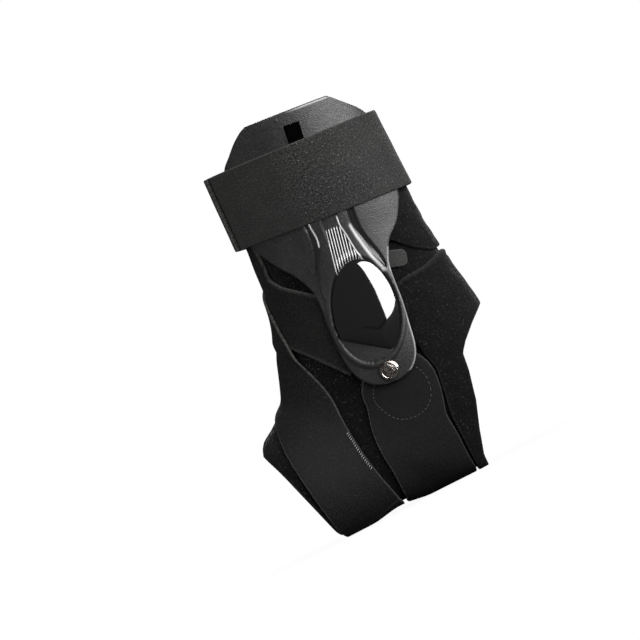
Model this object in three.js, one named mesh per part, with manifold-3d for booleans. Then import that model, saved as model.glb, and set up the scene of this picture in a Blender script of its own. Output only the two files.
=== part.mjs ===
// Ankle support with two moulded side plates, shaped to a right foot and standing on its sole.
// Millimetres. +Z up the leg, -X towards the toes, -Y the inner side of the ankle.
// The origin is on the floor, straight below the rivets.
import * as THREE from "three";
import { mergeVertices } from "three/addons/utils/BufferGeometryUtils.js";
import Module from "manifold-3d";

// Leg and foot that the support is shaped to
const LEG_HEIGHT = 230; // floor to the top of the side plates
const FOOT_REACH = 150; // front edge of the foot part to the back of the heel
const ANKLE_WIDTH = 72; // across the ankle bones
const ARCH_RISE = 2.5; // of the sole, ahead of the stirrup strap
const SOLE_ROUNDING = 6; // height over which the sides turn into the flat sole

// Cloth
const GAP = 0.5; // clearance between two layers
const WRAP_THICKNESS = 2.5;
const PANEL_THICKNESS = 2; // heel panel and rear flap
const STRAP_THICKNESS = 1.6;
const TAB_THICKNESS = 1.2;
const DOUBLING = 1; // what a doubled strap end adds
const STIRRUP_WIDTH = 42;
const CROSS_STRAP_WIDTH = 34;
const FRONT_STRAP_WIDTH = 37;
const FRONT_STRAP_DOUBLED = 52; // length of the doubled end, from the sole
const BAND_WIDTH = 45;
const WRAP_UNDER_BAND = 0.75; // share of the band's width that hides the top of the foot wrap
const FLAP_UNDER_BAND = 0.4; // the same for the rear flap
const TAB_WIDTH = 10;
const SEAM_GAP = 2; // between the stirrup strap and the heel panel beside it
const EDGE_MARGIN = 3; // how far a strap stays lifted past the edge of the one it crosses
const EDGE_RAMP = 5; // how far it takes to come down again
const DOUBLING_RAMP = 3; // how far a doubled end takes to thin out

// Side plates
const PLATE_LENGTH = 162;
const PLATE_WIDTH = 91; // as seen from the side
const PLATE_THICKNESS = 2;
const PLATE_LEAN = THREE.MathUtils.degToRad(5.8); // of its long axis, backwards
const ARM_WIDTH = 7; // of the raised frame above the dome
const ARM_RISE = 1.2;
const DOME_LENGTH = 57;
const DOME_WIDTH = 35.5;
const DOME_RISE = 4.5;
const DOME_EDGE = 0.8;
const DOME_ABOVE_RIVET = 36;
const SLOT_WIDTH = 8.3;
const SLOT_LENGTH = 20;
const SLOT_ABOVE_RIVET = 136;
const SLOT_DEPTH = 1.3;
const RIVET_HEIGHT = 73;
const RIVET_ABOVE_END = 7; // lower end of the plate to the rivet
const RIVET_RADIUS = 5.5;
const RIVET_RISE = 1.8;
const SHANK_RADIUS = 1.8;
const CUTTER_DEPTH = 30; // of the tools that cut the bores

// Heights above the skin
const FIRST_LAYER = WRAP_THICKNESS + GAP;
const PLATE_SEAT = FIRST_LAYER + PANEL_THICKNESS + GAP;
const PLATE_TOP = PLATE_SEAT + PLATE_THICKNESS;
const SOLE_LEVEL = FIRST_LAYER + STRAP_THICKNESS; // of the skin above the floor
const BAND_STEP = STRAP_THICKNESS + GAP; // where the band lies on its own start

const INNER = -1;
const OUTER = 1;
const MIDDLE = 0;

// Sections of the leg and foot, from the calf round the heel to the middle of the foot. Each is
// seen edge on from the side, as a line from its front point to its back point. x is a share of
// FOOT_REACH, z of LEG_HEIGHT and half of ANKLE_WIDTH. power is the exponent of its superellipse.
const SECTIONS = [
  { frontX: -0.22, frontZ: 1.043, backX: 0.347, backZ: 1.009, half: 0.542, power: 2.1 },
  { frontX: -0.223, frontZ: 0.93, backX: 0.341, backZ: 0.896, half: 0.521, power: 2.1 },
  { frontX: -0.23, frontZ: 0.835, backX: 0.341, backZ: 0.796, half: 0.507, power: 2.1 },
  { frontX: -0.237, frontZ: 0.739, backX: 0.341, backZ: 0.696, half: 0.486, power: 2.1 },
  { frontX: -0.247, frontZ: 0.678, backX: 0.341, backZ: 0.617, half: 0.465, power: 2.1 },
  { frontX: -0.255, frontZ: 0.613, backX: 0.352, backZ: 0.539, half: 0.458, power: 2.1 },
  { frontX: -0.269, frontZ: 0.552, backX: 0.367, backZ: 0.457, half: 0.472, power: 2.1 },
  { frontX: -0.295, frontZ: 0.5, backX: 0.388, backZ: 0.365, half: 0.493, power: 2.1 },
  { frontX: -0.33, frontZ: 0.452, backX: 0.4, backZ: 0.235, half: 0.5, power: 2.15 },
  { frontX: -0.364, frontZ: 0.393, backX: 0.36, backZ: 0.087, half: 0.479, power: 2.2 },
  { frontX: -0.392, frontZ: 0.354, backX: 0.18, backZ: 0, half: 0.472, power: 2.25 },
  { frontX: -0.437, frontZ: 0.33, backX: -0.02, backZ: 0, half: 0.486, power: 2.3 },
  { frontX: -0.485, frontZ: 0.307, backX: -0.18, backZ: 0, half: 0.514, power: 2.4 },
  { frontX: -0.53, frontZ: 0.287, backX: -0.313, backZ: 0, half: 0.542, power: 2.4 },
  { frontX: -0.552, frontZ: 0.26, backX: -0.437, backZ: 0, half: 0.556, power: 2.4 },
];
const BAND_LOWER_ROW = 3;
const HEEL_PANEL_ROWS = { from: 5, to: 11.5 };
const FLAP_LOWER_ROW = 7;
// Rows of a sleeve, closer together where the ankle turns and where the arch rises
const SLEEVE_ROWS = [
  2, 3, 4, 4.5, 5, 5.5, 6, 6.5, 7, 7.5, 8, 8.5, 9, 9.5, 10, 10.5, 10.75, 11, 11.25, 11.5, 11.75, 12,
  12.5, 13, 13.5,
];
// Degrees from the front line to each column of a sleeve, closer together where the sole turns up
const COLUMN_TURNS = [0, 14, 28, 42, 56, 70, 84, 98, 110, 120, 129, 137, 144, 151, 159, 169];
const ARCH = { centre: -0.19, half: 0.135 }; // shares of FOOT_REACH

// The calf band's run round the leg, in degrees from the front line, negative over the inner side
const BAND_TURNS = { start: 35, overlapBegins: -298, overlapLifted: -322, end: -378 };
const BAND_DIP = 14; // how far from the front and back lines it comes down between the plates

// Stops along the middle of each strap, as seen from the side, in shares of FOOT_REACH and LEG_HEIGHT
const STIRRUP_STOPS = [
  { x: 0.007, z: 0.357, side: INNER },
  { x: 0.007, z: 0.265, side: INNER },
  { x: -0.023, z: 0.183, side: INNER },
  { x: -0.023, z: 0.096, side: INNER },
  { x: -0.023, z: 0.035, side: INNER },
  { x: -0.023, z: 0, side: MIDDLE },
  { x: -0.023, z: 0.035, side: OUTER },
  { x: -0.023, z: 0.096, side: OUTER },
  { x: -0.023, z: 0.183, side: OUTER },
  { x: 0.007, z: 0.265, side: OUTER },
  { x: 0.007, z: 0.357, side: OUTER },
];
const CROSS_STRAP_STOPS = [
  { x: -0.04, z: 0.391, side: INNER },
  { x: -0.177, z: 0.502, side: INNER },
  { x: -0.253, z: 0.57, side: INNER },
  { x: -0.28, z: 0.63, side: MIDDLE },
  { x: -0.26, z: 0.687, side: OUTER },
  { x: -0.233, z: 0.765, side: OUTER },
  { x: -0.22, z: 0.826, side: OUTER },
];
const FRONT_STRAP_STOPS = [
  { x: -0.3, z: 0.003, side: INNER },
  { x: -0.333, z: 0.087, side: INNER },
  { x: -0.36, z: 0.217, side: INNER },
  { x: -0.347, z: 0.339, side: INNER },
  { x: -0.333, z: 0.47, side: MIDDLE },
  { x: -0.253, z: 0.539, side: OUTER },
  { x: -0.113, z: 0.596, side: OUTER },
  { x: 0, z: 0.639, side: OUTER },
];
const TAB_STOPS = [
  { x: 0.133, z: 0.566, side: INNER },
  { x: 0.24, z: 0.54, side: INNER },
];

// Edges as seen from the side, in the same shares
const HEEL_EDGE_LOW = [
  { x: 0.171, z: -0.05 },
  { x: 0.173, z: 0.03 },
  { x: 0.201, z: 0.09 },
  { x: 0.238, z: 0.156 },
  { x: 0.265, z: 0.229 },
  { x: 0.274, z: 0.272 },
];
const HEEL_EDGE_HIGH = [
  { x: 0.303, z: 0.295 },
  { x: 0.357, z: 0.327 },
  { x: 0.423, z: 0.361 },
  { x: 0.55, z: 0.426 },
];
const HEEL_PANEL_TOP = [
  { x: 0.55, z: 0.523 },
  { x: 0.38, z: 0.521 },
  { x: 0.327, z: 0.509 },
  { x: 0.281, z: 0.502 },
  { x: 0.202, z: 0.5 },
  { x: 0.113, z: 0.487 },
];
const FLAP_EDGE = [
  { x: 0.12, z: 0.622 },
  { x: 0.23, z: 0.593 },
  { x: 0.294, z: 0.553 },
  { x: 0.349, z: 0.53 },
  { x: 0.55, z: 0.528 },
];

// Half widths of a side plate in front of and behind its axis, in shares of PLATE_WIDTH, from its
// lower end up, in shares of PLATE_LENGTH
const PLATE_OUTLINE = [
  { up: 0, front: 0.04, back: 0.04 },
  { up: 0.015, front: 0.12, back: 0.12 },
  { up: 0.05, front: 0.185, back: 0.18 },
  { up: 0.1, front: 0.225, back: 0.21 },
  { up: 0.173, front: 0.243, back: 0.222 },
  { up: 0.247, front: 0.25, back: 0.233 },
  { up: 0.32, front: 0.247, back: 0.233 },
  { up: 0.377, front: 0.255, back: 0.238 },
  { up: 0.414, front: 0.28, back: 0.255 },
  { up: 0.463, front: 0.33, back: 0.297 },
  { up: 0.506, front: 0.397, back: 0.37 },
  { up: 0.556, front: 0.455, back: 0.42 },
  { up: 0.617, front: 0.51, back: 0.455 },
  { up: 0.735, front: 0.52, back: 0.472 },
  { up: 0.833, front: 0.512, back: 0.475 },
  { up: 0.889, front: 0.49, back: 0.45 },
  { up: 0.926, front: 0.435, back: 0.405 },
  { up: 0.963, front: 0.375, back: 0.33 },
  { up: 0.988, front: 0.32, back: 0.28 },
  { up: 1, front: 0.28, back: 0.25 },
];
const PLATE_COLUMNS = 11;

// Middle lines of the two raised arms, beside the plate's axis and above the rivet, in shares of
// PLATE_WIDTH and PLATE_LENGTH
const ARMS = [
  [
    { across: -0.16, up: 0.36 },
    { across: -0.122, up: 0.41 },
    { across: -0.098, up: 0.49 },
    { across: -0.09, up: 0.55 },
  ],
  [
    { across: 0.185, up: 0.36 },
    { across: 0.135, up: 0.41 },
    { across: 0.085, up: 0.49 },
    { across: 0.072, up: 0.55 },
  ],
];

const wasm = await Module();
wasm.setup();

// Smooth value of a table's column at a fractional row number.
function columnAt(table, column, row) {
  const last = table.length - 1;
  const first = THREE.MathUtils.clamp(Math.floor(row), 0, last - 1);
  const t = row - first;
  const [a, b, c, d] = [-1, 0, 1, 2].map((step) => {
    return table[THREE.MathUtils.clamp(first + step, 0, last)][column];
  });
  return b + 0.5 * t * (c - a + t * (2 * a - 5 * b + 4 * c - d + t * (3 * (b - c) + d - a)));
}

// Section of the skin at a fractional row number, with its ends as points in the side view.
function sectionAt(row) {
  return {
    front: new THREE.Vector2(
      columnAt(SECTIONS, "frontX", row) * FOOT_REACH,
      columnAt(SECTIONS, "frontZ", row) * LEG_HEIGHT,
    ),
    back: new THREE.Vector2(
      columnAt(SECTIONS, "backX", row) * FOOT_REACH,
      columnAt(SECTIONS, "backZ", row) * LEG_HEIGHT,
    ),
    half: columnAt(SECTIONS, "half", row) * ANKLE_WIDTH,
    power: columnAt(SECTIONS, "power", row),
  };
}

// Point on the skin. The angle is 0 at the front, negative on the inner side.
function skinPoint({ row, angle }) {
  const { front, back, half, power } = sectionAt(row);
  const cos = Math.cos(angle);
  const sin = Math.sin(angle);
  const reach = (Math.abs(cos) ** power + Math.abs(sin) ** power) ** (-1 / power);
  const middle = front.clone().lerp(back, (1 - reach * cos) / 2);
  return new THREE.Vector3(middle.x, reach * sin * half, middle.y);
}

// Directions in which the skin runs as the row and the angle grow, per row and per radian.
function tangentsAt({ row, angle }) {
  const step = 0.01;
  const between = (a, b) => skinPoint(b).sub(skinPoint(a)).divideScalar(2 * step);
  return {
    byRow: between({ row: row - step, angle }, { row: row + step, angle }),
    byAngle: between({ row, angle: angle - step }, { row, angle: angle + step }),
  };
}

// Outward direction of the skin.
function normalAt(place) {
  const { byRow, byAngle } = tangentsAt(place);
  return byAngle.cross(byRow).normalize();
}

// Point at a height above the skin, before the sole is pressed flat.
function freePoint(place, height) {
  return skinPoint(place).addScaledVector(normalAt(place), height);
}

// Point at a height above the skin, with the sole pressed flat on the floor and its arch raised.
function layerPoint(place, height) {
  const point = freePoint(place, height);
  const fromArch = (point.x / FOOT_REACH - ARCH.centre) / ARCH.half;
  const arch = Math.abs(fromArch) < 1 ? ARCH_RISE * Math.cos((fromArch * Math.PI) / 2) ** 2 : 0;
  const floor = Math.max(0, SOLE_LEVEL - height) + arch;
  const blend = Math.max(0, 1 - Math.abs(point.z - floor) / SOLE_ROUNDING);
  point.z = Math.max(point.z, floor) + (SOLE_ROUNDING * blend * blend) / 4;
  return point;
}

// Row and angle of the skin point that shows at x, z from the side.
function placeOnSkin(x, z, side) {
  const point = new THREE.Vector2(x, z);
  let low = 0;
  let high = SECTIONS.length - 1;
  for (let i = 0; i < 30; i++) {
    const { front, back } = sectionAt((low + high) / 2);
    const isBelow = back.clone().sub(front).cross(point.clone().sub(front)) < 0;
    if (isBelow) {
      low = (low + high) / 2;
    } else {
      high = (low + high) / 2;
    }
  }
  const { front, back, power } = sectionAt(low);
  const line = back.clone().sub(front);
  const share = point.sub(front).dot(line) / line.lengthSq();
  const cos = THREE.MathUtils.clamp(1 - 2 * share, -1, 1);
  const sin = side * (1 - Math.abs(cos) ** power) ** (1 / power);
  return { row: low, angle: Math.atan2(sin, cos) };
}

// Row and angle of the point at a height above the skin that shows at x, z from the side.
function placeOnSide(x, z, side, height) {
  const place = placeOnSkin(x, z, side);
  const leastTurn = 0.4; // keeps the start off the front and back lines, where x hardly changes
  place.angle = side * THREE.MathUtils.clamp(Math.abs(place.angle), leastTurn, Math.PI - leastTurn);
  const step = 0.01;
  for (let i = 0; i < 6; i++) {
    const here = freePoint(place, height);
    const byRow = freePoint({ row: place.row + step, angle: place.angle }, height).sub(here);
    const byAngle = freePoint({ row: place.row, angle: place.angle + step }, height).sub(here);
    const missX = x - here.x;
    const missZ = z - here.z;
    const det = byRow.x * byAngle.z - byRow.z * byAngle.x;
    const rows = ((missX * byAngle.z - missZ * byAngle.x) / det) * step;
    const turn = ((missZ * byRow.x - missX * byRow.z) / det) * step;
    place.row += THREE.MathUtils.clamp(rows, -0.5, 0.5);
    place.angle += THREE.MathUtils.clamp(turn, -0.2, 0.2);
  }
  return place;
}

// Place reached by going a distance over the skin in a direction, as straight as it lets.
function walk(start, direction, distance) {
  const place = { ...start };
  const steps = Math.max(1, Math.ceil(Math.abs(distance) / 3));
  const heading = direction.clone();
  for (let i = 0; i < steps; i++) {
    const { byRow, byAngle } = tangentsAt(place);
    heading.projectOnPlane(byAngle.clone().cross(byRow).normalize()).normalize();
    const rr = byRow.dot(byRow);
    const aa = byAngle.dot(byAngle);
    const ra = byRow.dot(byAngle);
    const r = byRow.dot(heading);
    const a = byAngle.dot(heading);
    const scale = distance / steps / (rr * aa - ra * ra);
    place.row += (r * aa - a * ra) * scale;
    place.angle += (a * rr - r * ra) * scale;
  }
  return place;
}

// Row that lies a distance further up the leg than another one.
function rowAbove(row, distance) {
  const middle = (at) => {
    const { front, back } = sectionAt(at);
    return front.add(back).divideScalar(2);
  };
  const start = middle(row);
  let found = row;
  while (found > 0 && middle(found).distanceTo(start) < distance) found -= 0.01;
  return found;
}

// Places at even steps along a smooth line over the skin, through the stops.
function routeThrough(stops) {
  const turnScale = 2.5; // brings an angle to the size of a row
  let before = 0;
  const knots = stops.map(({ x, z, side }, i) => {
    const { row, angle } = placeOnSkin(x * FOOT_REACH, z * LEG_HEIGHT, side);
    const turns = i === 0 ? 0 : Math.round((before - angle) / (2 * Math.PI));
    before = angle + turns * 2 * Math.PI;
    return new THREE.Vector3(row, before * turnScale, 0);
  });
  const curve = new THREE.CatmullRomCurve3(knots);
  const places = curve.getPoints(200).map(({ x, y }) => ({ row: x, angle: y / turnScale }));
  const points = places.map(skinPoint);
  const distances = [0];
  for (let i = 1; i < points.length; i++) {
    distances.push(distances[i - 1] + points[i].distanceTo(points[i - 1]));
  }
  return { places, points, distances, length: distances.at(-1) };
}

// Place on a route at a distance from its start, with the direction that the route takes there.
function alongRoute({ places, points, distances }, distance) {
  let i = distances.findIndex((value) => value >= distance);
  i = THREE.MathUtils.clamp(i < 0 ? distances.length - 1 : i, 1, distances.length - 1);
  const t = (distance - distances[i - 1]) / (distances[i] - distances[i - 1]);
  return {
    place: {
      row: THREE.MathUtils.lerp(places[i - 1].row, places[i].row, t),
      angle: THREE.MathUtils.lerp(places[i - 1].angle, places[i].angle, t),
    },
    ahead: points[i].clone().sub(points[i - 1]),
  };
}

// Grid of places that a strap covers, row by row along its route.
function strapPlaces(route, width, { step, columns, endRadius = 0 }) {
  const stations = [];
  const roundSteps = endRadius > 0 ? [15, 35, 60] : [];
  for (const degrees of roundSteps) {
    const turn = THREE.MathUtils.degToRad(degrees);
    stations.push({ distance: endRadius * (1 - Math.cos(turn)), share: Math.sin(turn) });
  }
  const straight = route.length - 2 * endRadius;
  const count = Math.ceil(straight / step);
  for (let i = 0; i <= count; i++) {
    stations.push({ distance: endRadius + (straight * i) / count, share: 1 });
  }
  for (let i = roundSteps.length - 1; i >= 0; i--) {
    stations.push({ distance: route.length - stations[i].distance, share: stations[i].share });
  }
  return stations.map(({ distance, share }) => {
    const { place, ahead } = alongRoute(route, distance);
    const across = normalAt(place).cross(ahead).normalize();
    return Array.from({ length: columns + 1 }, (_, column) => {
      const offset = (column / columns - 0.5) * width * share;
      return { ...walk(place, across, offset), distance };
    });
  });
}

// How far a strap is lifted at a place by another strap that it crosses, from 0 to 1.
function crossing(route, width) {
  return (place) => {
    const point = skinPoint(place);
    const nearest = Math.min(...route.points.map((other) => other.distanceTo(point)));
    const past = nearest - width / 2 - EDGE_MARGIN;
    return 1 - THREE.MathUtils.smoothstep(past, 0, EDGE_RAMP);
  };
}

// Turns a geometry's faces outwards if they point inwards.
function faceOutwards(geometry) {
  const { position } = geometry.attributes;
  const index = geometry.index.array;
  const [a, b, c] = [new THREE.Vector3(), new THREE.Vector3(), new THREE.Vector3()];
  let volume = 0;
  for (let i = 0; i < index.length; i += 3) {
    a.fromBufferAttribute(position, index[i]);
    b.fromBufferAttribute(position, index[i + 1]);
    c.fromBufferAttribute(position, index[i + 2]);
    volume += a.dot(b.cross(c));
  }
  if (volume < 0) {
    for (let i = 0; i < index.length; i += 3) {
      [index[i], index[i + 1]] = [index[i + 1], index[i]];
    }
  }
  return geometry;
}

// Closed wall between two grids of points. It joins up with itself where it goes all the way round.
function wall(outer, inner, goesRound = false) {
  const rows = outer.length;
  const columns = outer[0].length;
  const at = (layer, row, column) => (layer * rows + row) * columns + (column % columns);
  const index = [];
  const quad = (a, b, c, d) => index.push(a, b, c, a, c, d);
  const across = goesRound ? columns : columns - 1;
  const end = rows - 1;
  for (let i = 0; i < across; i++) {
    for (let j = 0; j < end; j++) {
      quad(at(0, j, i), at(0, j, i + 1), at(0, j + 1, i + 1), at(0, j + 1, i));
      quad(at(1, j + 1, i), at(1, j + 1, i + 1), at(1, j, i + 1), at(1, j, i));
    }
    quad(at(1, 0, i), at(1, 0, i + 1), at(0, 0, i + 1), at(0, 0, i));
    quad(at(0, end, i), at(0, end, i + 1), at(1, end, i + 1), at(1, end, i));
  }
  for (let j = 0; j < end && !goesRound; j++) {
    const side = columns - 1;
    quad(at(0, j, 0), at(0, j + 1, 0), at(1, j + 1, 0), at(1, j, 0));
    quad(at(1, j, side), at(1, j + 1, side), at(0, j + 1, side), at(0, j, side));
  }
  const positions = [...outer, ...inner].flat().flatMap((point) => point.toArray());
  const geometry = new THREE.BufferGeometry();
  geometry.setAttribute("position", new THREE.Float32BufferAttribute(positions, 3));
  geometry.setIndex(index);
  return faceOutwards(geometry);
}

// Wall over a grid of places, between two heights that are numbers or functions of the place.
function wallOver(places, inner, outer, goesRound = false) {
  const heightAt = (height, place) => (typeof height === "function" ? height(place) : height);
  const lift = (height) => places.map((line) => {
    return line.map((place) => layerPoint(place, heightAt(height, place)));
  });
  return wall(lift(outer), lift(inner), goesRound);
}

// Sleeve of cloth round the leg or foot between two rows.
function sleeve(fromRow, toRow, inner, outer) {
  const between = SLEEVE_ROWS.filter((row) => row > fromRow + 0.1 && row < toRow - 0.1);
  const rows = [fromRow, ...between, toRow];
  const others = COLUMN_TURNS.slice(1).map((degrees) => 360 - degrees);
  const angles = [...COLUMN_TURNS, 180, ...others.reverse()].map(THREE.MathUtils.degToRad);
  const places = rows.map((row) => angles.map((angle) => ({ row, angle })));
  return wallOver(places, inner, outer, true);
}

// Block across the whole support with an outline that is seen from the side.
function sideBlock(outline) {
  const points = outline.map(({ x, z }) => new THREE.Vector2(x * FOOT_REACH, z * LEG_HEIGHT));
  const depth = 4 * ANKLE_WIDTH;
  const block = new THREE.ExtrudeGeometry(new THREE.Shape(points), { depth, bevelEnabled: false });
  return block.rotateX(Math.PI / 2).translate(0, depth / 2, 0);
}

function toSolid(geometry) {
  const bare = geometry.clone();
  bare.deleteAttribute("normal");
  bare.deleteAttribute("uv");
  const merged = mergeVertices(bare, 1e-4);
  return new wasm.Manifold(
    new wasm.Mesh({
      numProp: 3,
      vertProperties: new Float32Array(merged.attributes.position.array),
      triVerts: new Uint32Array(merged.index.array),
    }),
  );
}

function toGeometry(solid) {
  const { vertProperties, triVerts } = solid.getMesh();
  const geometry = new THREE.BufferGeometry();
  geometry.setAttribute("position", new THREE.BufferAttribute(vertProperties, 3));
  geometry.setIndex(new THREE.BufferAttribute(triVerts, 1));
  return geometry;
}

function cut(geometry, ...tools) {
  return toGeometry(tools.reduce((solid, tool) => solid.subtract(toSolid(tool)), toSolid(geometry)));
}

function keepInside(geometry, tool) {
  return toGeometry(toSolid(geometry).intersect(toSolid(tool)));
}

function join(geometry, ...others) {
  return toGeometry(others.reduce((solid, other) => solid.add(toSolid(other)), toSolid(geometry)));
}

// Place on a side plate, from its axis and from its rivet, in millimetres as seen from the side.
function onPlate(side, across, up) {
  const x = across * Math.cos(PLATE_LEAN) + up * Math.sin(PLATE_LEAN);
  const z = RIVET_HEIGHT - across * Math.sin(PLATE_LEAN) + up * Math.cos(PLATE_LEAN);
  return placeOnSide(x, z, side, (PLATE_SEAT + PLATE_TOP) / 2);
}

// Matrix that takes local Z to the plate's outward direction and local Y up along the plate.
function plateFrame(side, across, up, height) {
  const place = onPlate(side, across, up);
  const outward = normalAt(place);
  const upward = skinPoint(onPlate(side, across, up + 1)).sub(skinPoint(place));
  upward.projectOnPlane(outward).normalize();
  const basis = new THREE.Matrix4().makeBasis(upward.clone().cross(outward), upward, outward);
  return basis.setPosition(freePoint(place, height));
}

// Rows of places across a plate, spread evenly in angle, between two edges of each row.
function plateGrid(side, rows, columns) {
  return rows.map(({ from, to, up }) => Array.from({ length: columns + 1 }, (_, column) => {
    const middle = (from + to) / 2;
    const half = (to - from) / 2;
    const spread = Math.min(1.1, half / (PLATE_WIDTH / 2));
    const turn = (column / columns - 0.5) * 2 * spread;
    return onPlate(side, middle + (half * Math.sin(turn)) / Math.sin(spread), up);
  }));
}

function rivetBore(side) {
  const radius = SHANK_RADIUS + GAP;
  const bore = new THREE.CylinderGeometry(radius, radius, CUTTER_DEPTH, 12);
  return bore.rotateX(Math.PI / 2).applyMatrix4(plateFrame(side, 0, 0, PLATE_TOP));
}

function plateGeometry(side) {
  const shell = PLATE_OUTLINE.map(({ up, front, back }) => {
    return {
      from: -front * PLATE_WIDTH,
      to: back * PLATE_WIDTH,
      up: up * PLATE_LENGTH - RIVET_ABOVE_END,
    };
  });
  const arms = ARMS.map((arm) => {
    const rows = arm.map(({ across, up }) => {
      const middle = across * PLATE_WIDTH;
      return { from: middle - ARM_WIDTH / 2, to: middle + ARM_WIDTH / 2, up: up * PLATE_LENGTH };
    });
    const sunk = PLATE_TOP - PLATE_THICKNESS / 2;
    return wallOver(plateGrid(side, rows, 2), sunk, PLATE_TOP + ARM_RISE);
  });
  const body = wallOver(plateGrid(side, shell, PLATE_COLUMNS), PLATE_SEAT, PLATE_TOP);
  const slot = new THREE.BoxGeometry(SLOT_WIDTH, SLOT_LENGTH, 2 * SLOT_DEPTH);
  slot.applyMatrix4(plateFrame(side, 0, SLOT_ABOVE_RIVET, PLATE_TOP));
  return cut(join(body, ...arms), slot, rivetBore(side));
}

function domeGeometry(side) {
  const rows = [14, 26, 40, 55, 72, 90, 108, 125, 140, 154, 166].map((degrees) => {
    const turn = THREE.MathUtils.degToRad(degrees);
    const lean = -0.08 * Math.cos(turn) * DOME_WIDTH;
    const half = 0.5 * DOME_WIDTH * Math.sin(turn) * (1 + 0.06 * Math.cos(turn));
    const up = DOME_ABOVE_RIVET - 0.5 * DOME_LENGTH * Math.cos(turn);
    return { from: lean - half, to: lean + half, up, turn };
  });
  const columns = 6;
  const places = plateGrid(side, rows, columns).map((line, row) => line.map((place, column) => {
    const out = Math.abs(column / columns - 0.5) * 2 * Math.sin(rows[row].turn);
    const along = Math.cos(rows[row].turn);
    return { ...place, fullness: Math.sqrt(Math.max(0, 1 - out * out - along * along)) };
  }));
  const seat = PLATE_TOP + GAP;
  return wallOver(places, seat, ({ fullness }) => seat + DOME_EDGE + DOME_RISE * fullness);
}

function rivetGeometry(side) {
  const shank = PLATE_TOP - FIRST_LAYER;
  const profile = [
    new THREE.Vector2(0, -shank),
    new THREE.Vector2(SHANK_RADIUS, -shank),
    new THREE.Vector2(SHANK_RADIUS, GAP),
    new THREE.Vector2(RIVET_RADIUS, GAP),
    new THREE.Vector2(RIVET_RADIUS, GAP + 0.35 * RIVET_RISE),
    new THREE.Vector2(0.75 * RIVET_RADIUS, GAP + 0.8 * RIVET_RISE),
    new THREE.Vector2(0.4 * RIVET_RADIUS, GAP + 0.96 * RIVET_RISE),
    new THREE.Vector2(0, GAP + RIVET_RISE),
  ];
  const rivet = new THREE.LatheGeometry(profile, 12).rotateX(Math.PI / 2);
  return rivet.applyMatrix4(plateFrame(side, 0, 0, PLATE_TOP));
}

function wrapGeometry() {
  const topRow = rowAbove(BAND_LOWER_ROW, WRAP_UNDER_BAND * BAND_WIDTH);
  const body = sleeve(topRow, SECTIONS.length - 1, 0, WRAP_THICKNESS);
  const behind = [{ x: 0.8, z: 0.426 }, { x: 0.8, z: -0.2 }, { x: 0.171, z: -0.2 }];
  return cut(body, sideBlock([...HEEL_EDGE_LOW, ...HEEL_EDGE_HIGH, ...behind]));
}

function heelPanelGeometry() {
  const stirrupEdge = (STIRRUP_WIDTH / 2 + SEAM_GAP) / FOOT_REACH;
  const frontEdge = [
    { x: 0.113, z: 0.4 },
    { x: 0.135, z: 0.339 },
    { x: 0.007 + stirrupEdge, z: 0.27 },
    { x: STIRRUP_STOPS[3].x + stirrupEdge, z: 0.15 },
    { x: STIRRUP_STOPS[5].x + stirrupEdge, z: -0.05 },
  ];
  const { from, to } = HEEL_PANEL_ROWS;
  const body = sleeve(from, to, FIRST_LAYER, FIRST_LAYER + PANEL_THICKNESS);
  const outline = [...HEEL_EDGE_LOW, ...HEEL_EDGE_HIGH, ...HEEL_PANEL_TOP, ...frontEdge];
  return keepInside(body, sideBlock(outline));
}

function rearFlapGeometry() {
  const topRow = rowAbove(BAND_LOWER_ROW, FLAP_UNDER_BAND * BAND_WIDTH);
  const body = sleeve(topRow, FLAP_LOWER_ROW, FIRST_LAYER, FIRST_LAYER + PANEL_THICKNESS);
  const above = [{ x: 0.55, z: 1.2 }, { x: 0.12, z: 1.2 }];
  return keepInside(body, sideBlock([...FLAP_EDGE, ...above]));
}

function stirrupGeometry() {
  const route = routeThrough(STIRRUP_STOPS);
  const size = { step: 5, columns: 5, endRadius: STIRRUP_WIDTH / 2 };
  const places = strapPlaces(route, STIRRUP_WIDTH, size);
  const strap = wallOver(places, FIRST_LAYER, FIRST_LAYER + STRAP_THICKNESS);
  return cut(strap, rivetBore(INNER), rivetBore(OUTER));
}

function crossStrapGeometry() {
  const route = routeThrough(CROSS_STRAP_STOPS);
  const places = strapPlaces(route, CROSS_STRAP_WIDTH, { step: 6, columns: 5 });
  return wallOver(places, FIRST_LAYER, FIRST_LAYER + STRAP_THICKNESS);
}

function frontStrapGeometry() {
  const route = routeThrough(FRONT_STRAP_STOPS);
  const over = crossing(routeThrough(CROSS_STRAP_STOPS), CROSS_STRAP_WIDTH);
  const places = strapPlaces(route, FRONT_STRAP_WIDTH, { step: 5, columns: 6 });
  const inner = (place) => FIRST_LAYER + (STRAP_THICKNESS + GAP) * over(place);
  const outer = (place) => {
    const past = place.distance - FRONT_STRAP_DOUBLED;
    const doubled = 1 - THREE.MathUtils.smoothstep(past, 0, DOUBLING_RAMP);
    return inner(place) + STRAP_THICKNESS + DOUBLING * doubled;
  };
  return wallOver(places, inner, outer);
}

function tabGeometry() {
  const places = strapPlaces(routeThrough(TAB_STOPS), TAB_WIDTH, { step: 5, columns: 2 });
  return wallOver(places, FIRST_LAYER, FIRST_LAYER + TAB_THICKNESS);
}

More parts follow.
